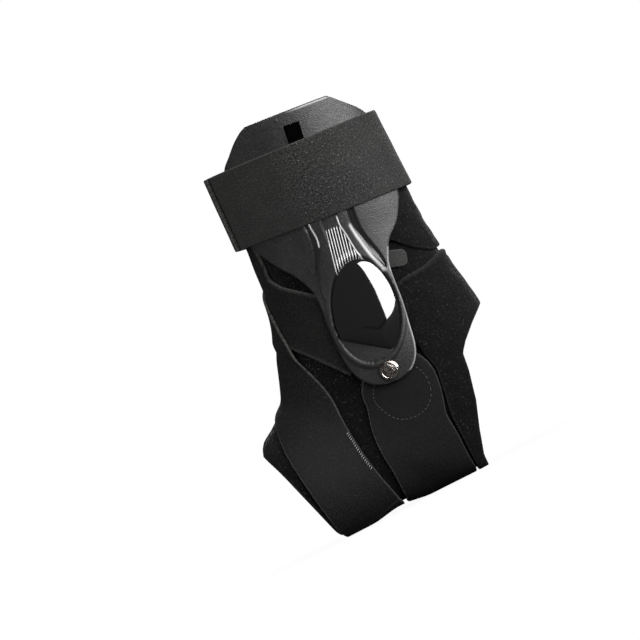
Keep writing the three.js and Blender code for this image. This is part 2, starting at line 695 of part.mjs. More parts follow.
// The band starts under its own end, goes once round over both plates and ends on itself in front.
function bandGeometry() {
  const toRadians = THREE.MathUtils.degToRad;
  const topRow = rowAbove(BAND_LOWER_ROW, BAND_WIDTH);
  const [start, end] = [toRadians(BAND_TURNS.start), toRadians(BAND_TURNS.end)];
  const lifted = toRadians(BAND_TURNS.overlapLifted);
  const begins = toRadians(BAND_TURNS.overlapBegins);
  const [columns, rows] = [46, 3];
  const places = Array.from({ length: rows + 1 }, (_, j) => {
    const row = THREE.MathUtils.lerp(topRow, BAND_LOWER_ROW, j / rows);
    return Array.from({ length: columns + 1 }, (_, i) => {
      return { row, angle: THREE.MathUtils.lerp(start, end, i / columns) };
    });
  });
  const inner = ({ angle }) => {
    const fromFront = Math.acos(Math.cos(angle));
    const overFlap = FIRST_LAYER + PANEL_THICKNESS + GAP;
    const overPlate = PLATE_TOP + GAP;
    const front = THREE.MathUtils.smoothstep(fromFront, 0, toRadians(BAND_DIP));
    const back = THREE.MathUtils.smoothstep(Math.PI - fromFront, 0, toRadians(BAND_DIP));
    const base = THREE.MathUtils.lerp(overFlap, overPlate, Math.min(front, back));
    const overStart = 1 - THREE.MathUtils.smoothstep(angle, lifted, begins);
    return base + BAND_STEP * overStart;
  };
  return wallOver(places, inner, (place) => inner(place) + STRAP_THICKNESS);
}

const cloth = (color) => new THREE.MeshStandardMaterial({ color, roughness: 0.95 });
const fleece = cloth(0x161616);
const webbing = cloth(0x1f1f1f);
const elastic = cloth(0x222222);
const plastic = new THREE.MeshStandardMaterial({ color: 0x1c1c1c, roughness: 0.5 });
const gloss = new THREE.MeshStandardMaterial({ color: 0x0a0a0a, roughness: 0.08 });
const nickel = new THREE.MeshStandardMaterial({ color: 0xc8c4bf, roughness: 0.2, metalness: 1 });

function piece(name, geometry, material) {
  const mesh = new THREE.Mesh(geometry, material);
  mesh.name = name;
  return mesh;
}

const ankleSupport = new THREE.Group();
ankleSupport.add(
  piece("foot_wrap", wrapGeometry(), fleece),
  piece("heel_panel", heelPanelGeometry(), fleece),
  piece("rear_flap", rearFlapGeometry(), fleece),
  piece("closure_tab", tabGeometry(), webbing),
  piece("stirrup_strap", stirrupGeometry(), webbing),
  piece("cross_strap", crossStrapGeometry(), elastic),
  piece("front_strap", frontStrapGeometry(), elastic),
  piece("calf_band", bandGeometry(), elastic),
);
for (const [name, side] of [["inner", INNER], ["outer", OUTER]]) {
  ankleSupport.add(
    piece(`${name}_plate`, plateGeometry(side), plastic),
    piece(`${name}_dome`, domeGeometry(side), gloss),
    piece(`${name}_rivet`, rivetGeometry(side), nickel),
  );
}

export default ankleSupport;
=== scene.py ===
"""Ankle support with two moulded side plates, dressed in its cloths, plastics and metal.

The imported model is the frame: metres, +Z up the leg, -X towards the toes, -Y the inner side of the
ankle. The classes below keep their sizes in millimetres, and a mesh is written in metres.
"""
import logging
import math
from dataclasses import dataclass, field
from enum import Enum
from typing import Callable, Optional, Sequence

import bmesh
import bpy
import numpy as np
from mathutils import Matrix, Vector


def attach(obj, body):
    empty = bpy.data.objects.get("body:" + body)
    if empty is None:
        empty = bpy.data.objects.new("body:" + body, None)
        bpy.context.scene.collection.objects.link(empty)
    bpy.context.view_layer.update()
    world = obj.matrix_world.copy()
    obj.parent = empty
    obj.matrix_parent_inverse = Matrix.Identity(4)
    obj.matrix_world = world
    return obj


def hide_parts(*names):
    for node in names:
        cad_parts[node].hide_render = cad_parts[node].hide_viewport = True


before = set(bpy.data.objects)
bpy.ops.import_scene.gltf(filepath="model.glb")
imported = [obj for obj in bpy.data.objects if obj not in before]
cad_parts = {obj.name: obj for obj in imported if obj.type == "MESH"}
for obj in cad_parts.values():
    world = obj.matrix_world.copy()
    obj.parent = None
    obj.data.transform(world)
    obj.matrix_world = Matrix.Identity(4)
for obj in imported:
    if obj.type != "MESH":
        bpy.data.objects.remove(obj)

Floats = np.ndarray
Corners = tuple[tuple[float, float], ...]
Colour = tuple[float, float, float]

MILLIMETRE = 0.001
LOG = logging.getLogger("ankle_support")


class Side(Enum):
    """Which side of the ankle a point is on, as the sign of its Y."""

    INNER = -1
    MIDDLE = 0
    OUTER = 1


class Grain(Enum):
    """How the threads of a cloth run."""

    WOVEN = "woven"
    RIBBED = "ribbed"


# ---- Small shape functions


def smoothstep(value: Floats, low: float, high: float) -> Floats:
    """Rises smoothly from 0 at low to 1 at high.

    Args:
        value: Numbers to look up.
        low: Where the rise starts.
        high: Where it ends.

    Returns:
        A number from 0 to 1 for each value.
    """
    t = np.clip((value - low) / (high - low), 0.0, 1.0)
    return t * t * (3.0 - 2.0 * t)


def rim(distance: Floats, radius: float, least: float) -> Floats:
    """Rounds an edge off.

    Args:
        distance: How far each point is from the edge.
        radius: How far the rounding reaches in.
        least: The share of the full thickness at the edge itself.

    Returns:
        The share of the full thickness there, up to 1.
    """
    inside = 1.0 - np.clip(distance / radius, 0.0, 1.0)
    return least + (1.0 - least) * np.sqrt(np.maximum(0.0, 1.0 - inside * inside))


def crest(offset: Floats, width: float) -> Floats:
    """Smooth bump that is 1 where the offset is 0, and fades over the width."""
    return np.exp(-((offset / width) ** 2))


def level(flat: Floats, height: float) -> Floats:
    """The same height for every flat point."""
    return np.full(len(flat), height)


def grey(tone: float) -> Colour:
    """A colour without a hue."""
    return (tone, tone, tone)


def stepped(*spans: tuple[float, float, float]) -> Floats:
    """Positions of a grid's lines, from the start, end and step of each stretch."""
    return np.unique(np.concatenate([np.arange(*span) for span in spans]).round(6))


def undulation(points: Floats, wavelength: float, seed: int) -> Floats:
    """Soft irregular waves, about -1 to 1.

    Args:
        points: Places to look up, one in each row.
        wavelength: Typical length of a wave, in the points' unit.
        seed: Picks the waves.

    Returns:
        A number for each point.
    """
    rng = np.random.default_rng(seed)
    total = np.zeros(len(points))
    for _ in range(9):
        direction = rng.normal(size=points.shape[1])
        direction *= rng.uniform(0.6, 1.7) * 2.0 * math.pi / wavelength / np.linalg.norm(direction)
        total += np.sin(points @ direction + rng.uniform(0.0, 2.0 * math.pi))
    return total / 3.0


@dataclass(frozen=True)
class Ripple:
    """Soft waves of one size in a cloth."""

    height: float
    wavelength: float
    seed: int


def rippled(points: Floats, ripples: Sequence[Ripple]) -> Floats:
    """Height of all the soft waves together."""
    return sum(r.height * undulation(points, r.wavelength, r.seed) for r in ripples)


def from_line(points: Floats, line: Floats) -> Floats:
    """Distance from each point to an open line.

    Args:
        points: Places in the line's plane, one in each row.
        line: The line's own points in order.

    Returns:
        The distances.
    """
    nearest = np.full(len(points), np.inf)
    for a, b in zip(line, line[1:]):
        along = b - a
        reach = points - a
        share = np.clip(reach @ along / max(along @ along, 1e-12), 0.0, 1.0)
        nearest = np.minimum(nearest, np.linalg.norm(reach - share[:, None] * along, axis=1))
    return nearest


def inside_outline(points: Floats, outline: Floats) -> Floats:
    """Distance from each point to a closed outline.

    Args:
        points: Places in the outline's plane, one in each row.
        outline: Corners of the outline in order.

    Returns:
        The distances, positive inside the outline.
    """
    closed = np.vstack([outline, outline[:1]])
    inside = np.zeros(len(points), bool)
    for a, b in zip(closed, closed[1:]):
        run, rise = b - a
        crosses = (a[1] > points[:, 1]) != (b[1] > points[:, 1])
        inside ^= crosses & (points[:, 0] < a[0] + run * (points[:, 1] - a[1]) / (rise or 1e-12))
    nearest = from_line(points, closed)
    return np.where(inside, nearest, -nearest)


def smooth_line(points: Sequence[Sequence[float]], pieces: int = 8) -> Floats:
    """Smooth line through points in a plane.

    Args:
        points: The points in order.
        pieces: How many short lines go between two of them.

    Returns:
        The line's own points.
    """
    known = np.array(points, float)
    row = np.linspace(0.0, len(known) - 1.0, (len(known) - 1) * pieces + 1)
    return smooth_rows(known, row)


def smooth_rows(table: Floats, row: Floats) -> Floats:
    """Smooth values of a table at fractional row numbers.

    Args:
        table: Numbers, one row for each step.
        row: Row numbers to look up.

    Returns:
        A row of values for each row number.
    """
    last = len(table) - 1
    first = np.clip(np.floor(row).astype(int), 0, last - 1)
    t = (row - first)[..., None]
    a, b, c, d = (table[np.clip(first + step, 0, last)] for step in (-1, 0, 1, 2))
    return b + 0.5 * t * (c - a + t * (2 * a - 5 * b + 4 * c - d + t * (3 * (b - c) + d - a)))


def lines(low: float, high: float, step: float, edge: float = 0.0) -> Floats:
    """Positions of a grid's lines, closer together near both ends.

    Args:
        low: First line.
        high: Last line.
        step: Largest distance between two lines.
        edge: How far the closer lines reach in from each end.

    Returns:
        The positions in order.
    """
    near = edge * np.array([0.06, 0.2, 0.42, 0.7]) if edge > 0 else np.zeros(0)
    count = max(1, math.ceil((high - low - 2 * edge) / step))
    middle = np.linspace(low + edge, high - edge, count + 1)
    ends = [[low], low + near, middle, high - near[::-1], [high]]
    return np.unique(np.round(np.concatenate(ends), 9))


# ---- The ankle's form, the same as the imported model's


@dataclass(frozen=True)
class Stop:
    """A stop on a strap's middle line, as seen from the side, in shares of reach and height."""

    x: float
    z: float
    side: Side


@dataclass(frozen=True)
class Section:
    """One edge-on section of the leg or foot, as a line from its front to its back."""

    front_x: float
    front_z: float
    back_x: float
    back_z: float
    half: float
    power: float


@dataclass(frozen=True)
class Places:
    """Rows and angles on the skin, as arrays of one length."""

    row: Floats
    angle: Floats


@dataclass(frozen=True)
class AnkleForm:
    """Leg and foot that the support is shaped to, and the layers above them."""

    leg_height: float = 230.0
    foot_reach: float = 150.0
    arch_rise: float = 2.5
    arch_centre: float = -0.19
    arch_half: float = 0.135
    ankle_width: float = 72.0
    sole_rounding: float = 6.0
    sole_level: float = 4.6
    sections: tuple[Section, ...] = (
        Section(-0.22, 1.043, 0.347, 1.009, 0.542, 2.1),
        Section(-0.223, 0.93, 0.341, 0.896, 0.521, 2.1),
        Section(-0.23, 0.835, 0.341, 0.796, 0.507, 2.1),
        Section(-0.237, 0.739, 0.341, 0.696, 0.486, 2.1),
        Section(-0.247, 0.678, 0.341, 0.617, 0.465, 2.1),
        Section(-0.255, 0.613, 0.352, 0.539, 0.458, 2.1),
        Section(-0.269, 0.552, 0.367, 0.457, 0.472, 2.1),
        Section(-0.295, 0.5, 0.388, 0.365, 0.493, 2.1),
        Section(-0.33, 0.452, 0.4, 0.235, 0.5, 2.15),
        Section(-0.364, 0.393, 0.36, 0.087, 0.479, 2.2),
        Section(-0.392, 0.354, 0.18, 0.0, 0.472, 2.25),
        Section(-0.437, 0.33, -0.02, 0.0, 0.486, 2.3),
        Section(-0.485, 0.307, -0.18, 0.0, 0.514, 2.4),
        Section(-0.53, 0.287, -0.313, 0.0, 0.542, 2.4),
        Section(-0.552, 0.26, -0.437, 0.0, 0.556, 2.4),
    )

    def table(self) -> Floats:
        """The sections in millimetres, one row each."""
        scale = (self.foot_reach, self.leg_height) * 2 + (self.ankle_width, 1.0)
        rows = [(s.front_x, s.front_z, s.back_x, s.back_z, s.half, s.power) for s in self.sections]
        return np.array(rows) * np.array(scale)

    def skin(self, at: Places) -> Floats:
        """Points on the skin.

        Args:
            at: Their places.

        Returns:
            A point for each place.
        """
        section = smooth_rows(self.table(), at.row)
        cos, sin = np.cos(at.angle), np.sin(at.angle)
        power = section[:, 5]
        reach = (np.abs(cos) ** power + np.abs(sin) ** power) ** (-1.0 / power)
        share = ((1.0 - reach * cos) / 2.0)[:, None]
        middle = section[:, 0:2] + (section[:, 2:4] - section[:, 0:2]) * share
        return np.column_stack([middle[:, 0], reach * sin * section[:, 4], middle[:, 1]])

    def tangents(self, at: Places) -> tuple[Floats, Floats]:
        """Directions of the skin.

        Args:
            at: Places to look at.

        Returns:
            How a point moves per row, and per radian.
        """
        step = 0.01
        by_row = self.skin(Places(at.row + step, at.angle)) - self.skin(Places(at.row - step, at.angle))
        by_angle = self.skin(Places(at.row, at.angle + step)) - self.skin(Places(at.row, at.angle - step))
        return by_row / (2 * step), by_angle / (2 * step)

    def normals(self, at: Places) -> Floats:
        """Outward directions of the skin.

        Args:
            at: Places to look at.

        Returns:
            A unit vector for each place.
        """
        by_row, by_angle = self.tangents(at)
        outward = np.cross(by_angle, by_row)
        return outward / np.linalg.norm(outward, axis=1, keepdims=True)

    def free(self, at: Places, height: Floats) -> Floats:
        """Points above the skin, before the sole is pressed flat.

        Args:
            at: Their places.
            height: How far each is above the skin.

        Returns:
            A point for each place.
        """
        return self.skin(at) + self.normals(at) * np.reshape(height, (-1, 1))

    def layer(self, at: Places, height: Floats) -> Floats:
        """Points above the skin, with the sole pressed flat on the floor and its arch raised.

        Args:
            at: Their places.
            height: How far each is above the skin.

        Returns:
            A point for each place.
        """
        point = self.free(at, height)
        from_arch = (point[:, 0] / self.foot_reach - self.arch_centre) / self.arch_half
        raised = self.arch_rise * np.cos(from_arch * math.pi / 2) ** 2
        arch = np.where(np.abs(from_arch) < 1, raised, 0.0)
        floor = np.maximum(0.0, self.sole_level - height) + arch
        blend = np.maximum(0.0, 1.0 - np.abs(point[:, 2] - floor) / self.sole_rounding)
        point[:, 2] = np.maximum(point[:, 2], floor) + self.sole_rounding * blend * blend / 4.0
        return point

    def place_on_skin(self, x: Floats, z: Floats, side: Floats) -> Places:
        """Places of the skin points that show at x, z from the side.

        Args:
            x: Positions along the foot.
            z: Heights.
            side: Sign of the side that each is on.

        Returns:
            Their places.
        """
        low = np.zeros(len(x))
        high = np.full(len(x), len(self.sections) - 1.0)
        for _ in range(30):
            middle = (low + high) / 2
            s = smooth_rows(self.table(), middle)
            run_x, run_z = s[:, 2] - s[:, 0], s[:, 3] - s[:, 1]
            below = run_x * (z - s[:, 1]) - run_z * (x - s[:, 0]) < 0
            low, high = np.where(below, middle, low), np.where(below, high, middle)
        s = smooth_rows(self.table(), low)
        run_x, run_z = s[:, 2] - s[:, 0], s[:, 3] - s[:, 1]
        share = ((x - s[:, 0]) * run_x + (z - s[:, 1]) * run_z) / (run_x**2 + run_z**2)
        cos = np.clip(1.0 - 2.0 * share, -1.0, 1.0)
        sin = side * (1.0 - np.abs(cos) ** s[:, 5]) ** (1.0 / s[:, 5])
        return Places(low, np.arctan2(sin, cos))

    def place_on_side(self, x: Floats, z: Floats, side: Side, height: float) -> Places:
        """Places of the points at a height above the skin that show at x, z from the side.

        Args:
            x: Positions along the foot.
            z: Heights above the floor.
            side: The side that they are on.
            height: How far they are above the skin.

        Returns:
            Their places.
        """
        start = self.place_on_skin(x, z, np.full(len(x), side.value))
        least = 0.4
        row = start.row
        angle = side.value * np.clip(np.abs(start.angle), least, math.pi - least)
        step = 0.01
        lift = np.full(len(x), height)
        for _ in range(6):
            here = self.free(Places(row, angle), lift)
            by_row = self.free(Places(row + step, angle), lift) - here
            by_angle = self.free(Places(row, angle + step), lift) - here
            miss_x, miss_z = x - here[:, 0], z - here[:, 2]
            det = by_row[:, 0] * by_angle[:, 2] - by_row[:, 2] * by_angle[:, 0]
            rows = (miss_x * by_angle[:, 2] - miss_z * by_angle[:, 0]) / det * step
            turn = (miss_z * by_row[:, 0] - miss_x * by_row[:, 2]) / det * step
            row = row + np.clip(rows, -0.5, 0.5)
            angle = angle + np.clip(turn, -0.2, 0.2)
        return Places(row, angle)

    def walk(self, start: Places, direction: Floats, distance: Floats) -> Places:
        """Goes over the skin, as straight as it lets.

        Args:
            start: Where each walk starts.
            direction: Where each one heads.
            distance: How far each one goes, negative for backwards.

        Returns:
            The places reached.
        """
        row, angle = start.row.copy(), start.angle.copy()
        steps = max(1, math.ceil(float(np.abs(distance).max()) / 3.0))
        heading = direction
        for _ in range(steps):
            by_row, by_angle = self.tangents(Places(row, angle))
            outward = np.cross(by_angle, by_row)
            outward /= np.linalg.norm(outward, axis=1, keepdims=True)
            heading = heading - outward * np.sum(heading * outward, axis=1, keepdims=True)
            heading = heading / np.linalg.norm(heading, axis=1, keepdims=True)
            rr, aa = np.sum(by_row**2, axis=1), np.sum(by_angle**2, axis=1)
            ra = np.sum(by_row * by_angle, axis=1)
            r, a = np.sum(by_row * heading, axis=1), np.sum(by_angle * heading, axis=1)
            scale = distance / steps / (rr * aa - ra * ra)
            row = row + (r * aa - a * ra) * scale
            angle = angle + (a * rr - r * ra) * scale
        return Places(row, angle)

    def row_above(self, row: float, distance: float) -> float:
        """Row that lies a distance further up the leg than another one.

        Args:
            row: Where to start.
            distance: How far up to go.

        Returns:
            The row found.
        """
        rows = np.arange(row, 0.0, -0.01)
        s = smooth_rows(self.table(), rows)
        middle = (s[:, 0:2] + s[:, 2:4]) / 2
        far = np.linalg.norm(middle - middle[0], axis=1) >= distance
        return float(rows[int(np.argmax(far))]) if far.any() else 0.0


class Route:
    """Middle line of a strap over the skin."""

    def __init__(self, form: AnkleForm, stops: Sequence[Stop]) -> None:
        """Runs a smooth line through the stops.

        Args:
            form: What the strap lies on.
            stops: Where it goes.
        """
        self.form = form
        turn_scale = 2.5
        x = np.array([stop.x for stop in stops]) * form.foot_reach
        z = np.array([stop.z for stop in stops]) * form.leg_height
        side = np.array([stop.side.value for stop in stops], float)
        found = form.place_on_skin(x, z, side)
        knots = np.column_stack([found.row, np.unwrap(found.angle) * turn_scale])
        path = self._through(knots, 400)
        self.row, self.angle = path[:, 0], path[:, 1] / turn_scale
        self.points = form.skin(Places(self.row, self.angle))
        run = np.linalg.norm(np.diff(self.points, axis=0), axis=1)
        self.distance = np.concatenate([[0.0], np.cumsum(run)])
        self.length = float(self.distance[-1])

    @staticmethod
    def _through(knots: Floats, count: int) -> Floats:
        """Centripetal curve through knots.

        Args:
            knots: The knots in order.
            count: How many pieces the curve gets.

        Returns:
            Its points.
        """
        padded = np.vstack([2 * knots[0] - knots[1], knots, 2 * knots[-1] - knots[-2]])
        found = []
        for step in range(count + 1):
            at = (len(knots) - 1) * step / count
            i = min(int(at), len(knots) - 2)
            w = at - i
            p0, p1, p2, p3 = padded[i : i + 4]
            d0, d1, d2 = (max(1e-4, np.linalg.norm(b - a) ** 0.5) for a, b in ((p0, p1), (p1, p2), (p2, p3)))
            t1 = ((p1 - p0) / d0 - (p2 - p0) / (d0 + d1) + (p2 - p1) / d1) * d1
            t2 = ((p2 - p1) / d1 - (p3 - p1) / (d1 + d2) + (p3 - p2) / d2) * d1
            cubic = 2 * p1 - 2 * p2 + t1 + t2
            square = -3 * p1 + 3 * p2 - 2 * t1 - t2
            found.append(p1 + w * (t1 + w * (square + w * cubic)))
        return np.array(found)

    def places(self, flat: Floats) -> Places:
        """Places that a strap covers.

        Args:
            flat: Points on the flat strap: across from its middle, and along from its start.

        Returns:
            A place for each point.
        """
        along = np.clip(flat[:, 1], 0.0, self.length)
        start = Places(np.interp(along, self.distance, self.row), np.interp(along, self.distance, self.angle))
        smooth = np.gradient(self.points, self.distance, axis=0)
        ahead = np.column_stack([np.interp(along, self.distance, smooth[:, k]) for k in range(3)])
        across = np.cross(self.form.normals(start), ahead)
        across /= np.linalg.norm(across, axis=1, keepdims=True)
        return self.form.walk(start, across, flat[:, 0])

    def away(self, at: Places) -> Floats:
        """Distance from the line.

        Args:
            at: Places to measure.

        Returns:
            A distance for each place.
        """
        point = self.form.skin(at)
        nearest = np.full(len(point), np.inf)
        for other in self.points[::4]:
            nearest = np.minimum(nearest, np.linalg.norm(point - other, axis=1))
        return nearest


# ---- Meshes


class FlatCut:
    """A flat piece of material that is trimmed to its outline and then laid on the form."""

    def __init__(self, u: Floats, v: Floats) -> None:
        """Starts from a rectangle.

        Args:
            u: Positions of the lines across.
            v: Positions of the lines along.
        """
        self.bm = bmesh.new()
        self.uv = self.bm.loops.layers.uv.new("Flat")
        self.marks = {name: self.bm.verts.layers.float.new(name) for name in ("edge", "gloss")}
        bmesh.ops.create_grid(self.bm, x_segments=len(u) - 1, y_segments=len(v) - 1, size=1.0)
        for vert in self.bm.verts:
            i = round((vert.co.x + 1) / 2 * (len(u) - 1))
            j = round((vert.co.y + 1) / 2 * (len(v) - 1))
            vert.co = (u[i], v[j], 0.0)
        self.flat = np.zeros((0, 2))
        self.order: list[bmesh.types.BMVert] = []

    def _coordinates(self) -> Floats:
        """Flat position of every vertex, in order."""
        return np.array([vert.co.xy for vert in self.bm.verts], float).reshape(-1, 2)

    def trim(
        self, inside: Callable[[Floats], Floats], levels: Sequence[float] = (0.0,), keep: bool = False
    ) -> None:
        """Cuts along an outline, and draws lines a little inside it for its rounded edge.

        Args:
            inside: Distance inside the outline for flat points, negative outside it.
            levels: Distances at which a line is drawn.
            keep: Whether what lies outside the first line stays, instead of being cut off.
        """
        for number, level in enumerate(levels):
            self.bm.verts.index_update()
            value = inside(self._coordinates()) - level
            value = np.where(np.abs(value) < 1e-3, 1e-3, value)
            drawn = []
            for edge in self.bm.edges:
                a, b = edge.verts
                if (value[a.index] > 0) != (value[b.index] > 0):
                    drawn.append((edge, a, float(value[a.index] / (value[a.index] - value[b.index]))))
            fresh = [bmesh.utils.edge_split(edge, a, share)[1] for edge, a, share in drawn]
            bmesh.ops.connect_verts(self.bm, verts=fresh)
            if number == 0 and not keep:
                added = set(fresh)
                cut_off = {v for v in self.bm.verts if v not in added and value[v.index] < 0}
                outside = [face for face in self.bm.faces if not cut_off.isdisjoint(face.verts)]
                bmesh.ops.delete(self.bm, geom=outside, context="FACES")

    def lay(
        self,
        inner: Callable[[Floats], Floats],
        outer: Callable[[Floats], Floats],
        seam: Optional[float] = None,
        chart: Optional[Callable[[Floats], Floats]] = None,
    ) -> None:
        """Gives the piece its thickness and puts both faces in place.

        Args:
            inner: Points in millimetres of the inner face, for flat points.
            outer: The same for the outer face.
            seam: Where the first coordinate's two ends meet, at plus and minus this number.
            chart: Pattern coordinates in millimetres for flat points, if not the flat ones.
        """
        bm = self.bm
        flat = self._coordinates()
        pattern = chart(flat) if chart else flat
        bm.verts.index_update()
        for face in bm.faces:
            for loop in face.loops:
                loop[self.uv].uv = pattern[loop.vert.index]
        below = list(bm.verts)
        ret = bmesh.ops.extrude_face_region(bm, geom=bm.faces[:], use_keep_orig=True)
        above = [g for g in ret["geom"] if isinstance(g, bmesh.types.BMVert)]
        top = np.array([vert.co.xy for vert in above], float).reshape(-1, 2)
        if seam is not None:
            ends = [f for f in bm.faces if all(abs(abs(v.co.x) - seam) < 1e-6 for v in f.verts)]
            bmesh.ops.delete(bm, geom=ends, context="FACES_ONLY")
        for verts, points in ((below, inner(flat)), (above, outer(top))):
            for vert, point in zip(verts, points * MILLIMETRE):
                vert.co = point
        self.flat = np.vstack([flat, top])
        self.order = below + above

    def paint(self, name: str, amount: Callable[[Floats], Floats]) -> None:
        """Stores a number on every vertex for the material to read.

        Args:
            name: What the material calls it.
            amount: The number for flat points.
        """
        for vert, value in zip(self.order, amount(self.flat)):
            vert[self.marks[name]] = float(value)

    def close(self) -> None:
        """Joins the ends of a piece that goes all the way round, and turns its faces outwards."""
        bmesh.ops.remove_doubles(self.bm, verts=self.bm.verts, dist=2e-6)
        bmesh.ops.recalc_face_normals(self.bm, faces=self.bm.faces)


def mirrored(bm: bmesh.types.BMesh) -> bmesh.types.BMesh:
    """Copy of a mesh for the other side of the ankle.

    Args:
        bm: The inner side's mesh.

    Returns:
        The outer side's mesh.
    """
    other = bm.copy()
    bmesh.ops.scale(other, vec=(1.0, -1.0, 1.0), verts=other.verts)
    bmesh.ops.reverse_faces(other, faces=other.faces)
    return other


def to_object(
    bm: bmesh.types.BMesh,
    name: str,
    material: bpy.types.Material,
    slot: str,
    nodes: Sequence[str] = (),
    crease: float = 48.0,
) -> bpy.types.Object:
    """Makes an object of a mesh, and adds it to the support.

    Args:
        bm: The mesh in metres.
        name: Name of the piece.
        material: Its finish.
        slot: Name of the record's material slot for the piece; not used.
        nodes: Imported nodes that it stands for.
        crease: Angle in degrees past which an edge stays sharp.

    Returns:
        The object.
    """
    for face in bm.faces:
        face.smooth = True
    for edge in bm.edges:
        edge.smooth = len(edge.link_faces) != 2 or edge.calc_face_angle(0.0) < math.radians(crease)
    mesh = bpy.data.meshes.new(name)
    bm.to_mesh(mesh)
    triangles = sum(len(face.verts) - 2 for face in bm.faces)
    bm.free()
    mesh.materials.append(material)
    piece = bpy.data.objects.new(name, mesh)
    bpy.context.scene.collection.objects.link(piece)
    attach(piece, "root")
    if nodes:
        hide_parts(*nodes)
    LOG.info("%s: %d triangles", name, triangles)
    return piece


# ---- Finishes


class Palette:
    """Builds one node material."""

    def __init__(self, name: str) -> None:
        """Starts an empty material.

        Args:
            name: Its name.
        """
        self.material = bpy.data.materials.new(name)
        self.material.use_nodes = True
        self.tree = self.material.node_tree
        self.shader = self.tree.nodes["Principled BSDF"]
        self.spot = 0

    def node(self, kind: str, **settings: object) -> bpy.types.Node:
        """Adds a node.

        Args:
            kind: Blender's name for it, without ShaderNode.
            settings: Its properties.

        Returns:
            The node.
        """
        made = self.tree.nodes.new("ShaderNode" + kind)
        self.spot += 1
        made.location = (-220 * (self.spot % 7) - 300, -180 * (self.spot // 7))
        for key, value in settings.items():
            setattr(made, key, value)
        return made

    def feed(self, socket: bpy.types.NodeSocket, value: object) -> None:
        """Links a socket or sets its number.

        Args:
            socket: Input to fill.
            value: Another node's output, or a plain value.
        """
        if isinstance(value, bpy.types.NodeSocket):
            self.tree.links.new(value, socket)
        else:
            socket.default_value = value

    def math(self, operation: str, *values: object) -> bpy.types.NodeSocket:
        """Adds a sum.

        Args:
            operation: Blender's name for it.
            values: Its inputs.

        Returns:
            Its result.
        """
        made = self.node("Math", operation=operation)
        for socket, value in zip(made.inputs, values):
            self.feed(socket, value)
        return made.outputs[0]

    def noise(
        self, where: object, scale: float, detail: float = 3.0, rough: float = 0.55
    ) -> bpy.types.NodeSocket:
        """Adds cloudy noise.

        Args:
            where: Coordinates.
            scale: Clouds per unit.
            detail: How many finer layers it has.
            rough: How strong they are.

        Returns:
            Its value, around 0.5.
        """
        made = self.node("TexNoise")
        self.feed(made.inputs["Vector"], where)
        made.inputs["Scale"].default_value = scale
        made.inputs["Detail"].default_value = detail
        made.inputs["Roughness"].default_value = rough
        return made.outputs["Fac"]

    def cells(self, where: object, scale: float) -> bpy.types.NodeSocket:
        """Adds round cells.

        Args:
            where: Coordinates.
            scale: Cells per unit.

        Returns:
            Distance from each cell's centre.
        """
        made = self.node("TexVoronoi", feature="F1")
        self.feed(made.inputs["Vector"], where)
        made.inputs["Scale"].default_value = scale
        return made.outputs["Distance"]

    def spread(
        self, value: object, low: float, high: float, to_low: float = 0.0, to_high: float = 1.0
    ) -> bpy.types.NodeSocket:
        """Stretches a range of numbers over another.

        Args:
            value: Number to change.
            low: Start of its range.
            high: End of its range.
            to_low: What the start becomes.
            to_high: What the end becomes.

        Returns:
            The new number.
        """
        made = self.node("MapRange")
        for socket, number in zip(made.inputs, (value, low, high, to_low, to_high)):
            self.feed(socket, number)
        return made.outputs[0]

    def colours(self, share: object, first: object, second: object) -> bpy.types.NodeSocket:
        """Blends two colours.

        Args:
            share: How much of the second.
            first: A colour of three numbers, or a socket.
            second: The same.

        Returns:
            The blend.
        """
        made = self.node("Mix", data_type="RGBA")
        self.feed(made.inputs["Factor"], share)
        for socket, colour in ((made.inputs[6], first), (made.inputs[7], second)):
            self.feed(socket, colour if isinstance(colour, bpy.types.NodeSocket) else (*colour, 1.0))
        return made.outputs[2]

    def coordinates(self) -> bpy.types.NodeSocket:
        """Position in the frame, in millimetres."""
        made = self.node("Mapping")
        made.inputs["Scale"].default_value = (1000.0,) * 3
        self.feed(made.inputs["Vector"], self.node("TexCoord").outputs["Object"])
        return made.outputs[0]

    def flat(self) -> tuple[bpy.types.NodeSocket, bpy.types.NodeSocket, bpy.types.NodeSocket]:
        """The piece's flat coordinates in millimetres, whole and split into across and along."""
        uv = self.node("UVMap", uv_map="Flat").outputs[0]
        split = self.node("SeparateXYZ")
        self.feed(split.inputs[0], uv)
        return uv, split.outputs[0], split.outputs[1]

    def attribute(self, name: str) -> bpy.types.NodeSocket:
        """A number stored on the mesh."""
        return self.node("Attribute", attribute_name=name).outputs["Fac"]

    def waves(self, coordinate: object, pitch: float) -> bpy.types.NodeSocket:
        """Even waves along a coordinate.

        Args:
            coordinate: What they run along.
            pitch: Length of one wave.

        Returns:
            Their height, 0 to 1.
        """
        turned = self.math("SINE", self.math("MULTIPLY", coordinate, 2 * math.pi / pitch))
        return self.math("MULTIPLY_ADD", turned, 0.5, 0.5)

    def bump(self, *layers: tuple[object, float, float]) -> None:
        """Adds relief to the shader.

        Args:
            layers: Height, strength and depth in millimetres of each.
        """
        below = None
        for height, strength, depth in layers:
            made = self.node("Bump")
            made.inputs["Strength"].default_value = strength
            made.inputs["Distance"].default_value = depth * MILLIMETRE
            self.feed(made.inputs["Height"], height)
            if below is not None:
                self.feed(made.inputs["Normal"], below)
            below = made.outputs[0]
        self.feed(self.shader.inputs["Normal"], below)

    def set(self, **values: object) -> None:
        """Fills the shader's inputs.

        Args:
            values: Input names with underscores for spaces, and what goes in.
        """
        for key, value in values.items():
            name = key.replace("_", " ").title().replace("Ior", "IOR")
            self.feed(self.shader.inputs[name], value)

    def sheen(self, weight: float, roughness: float, tint: float) -> None:
        """Adds the pale bloom of a fibrous surface, with one number for each setting."""
        self.set(sheen_weight=weight, sheen_roughness=roughness)
        self.shader.inputs["Sheen Tint"].default_value = (*grey(tint), 1.0)


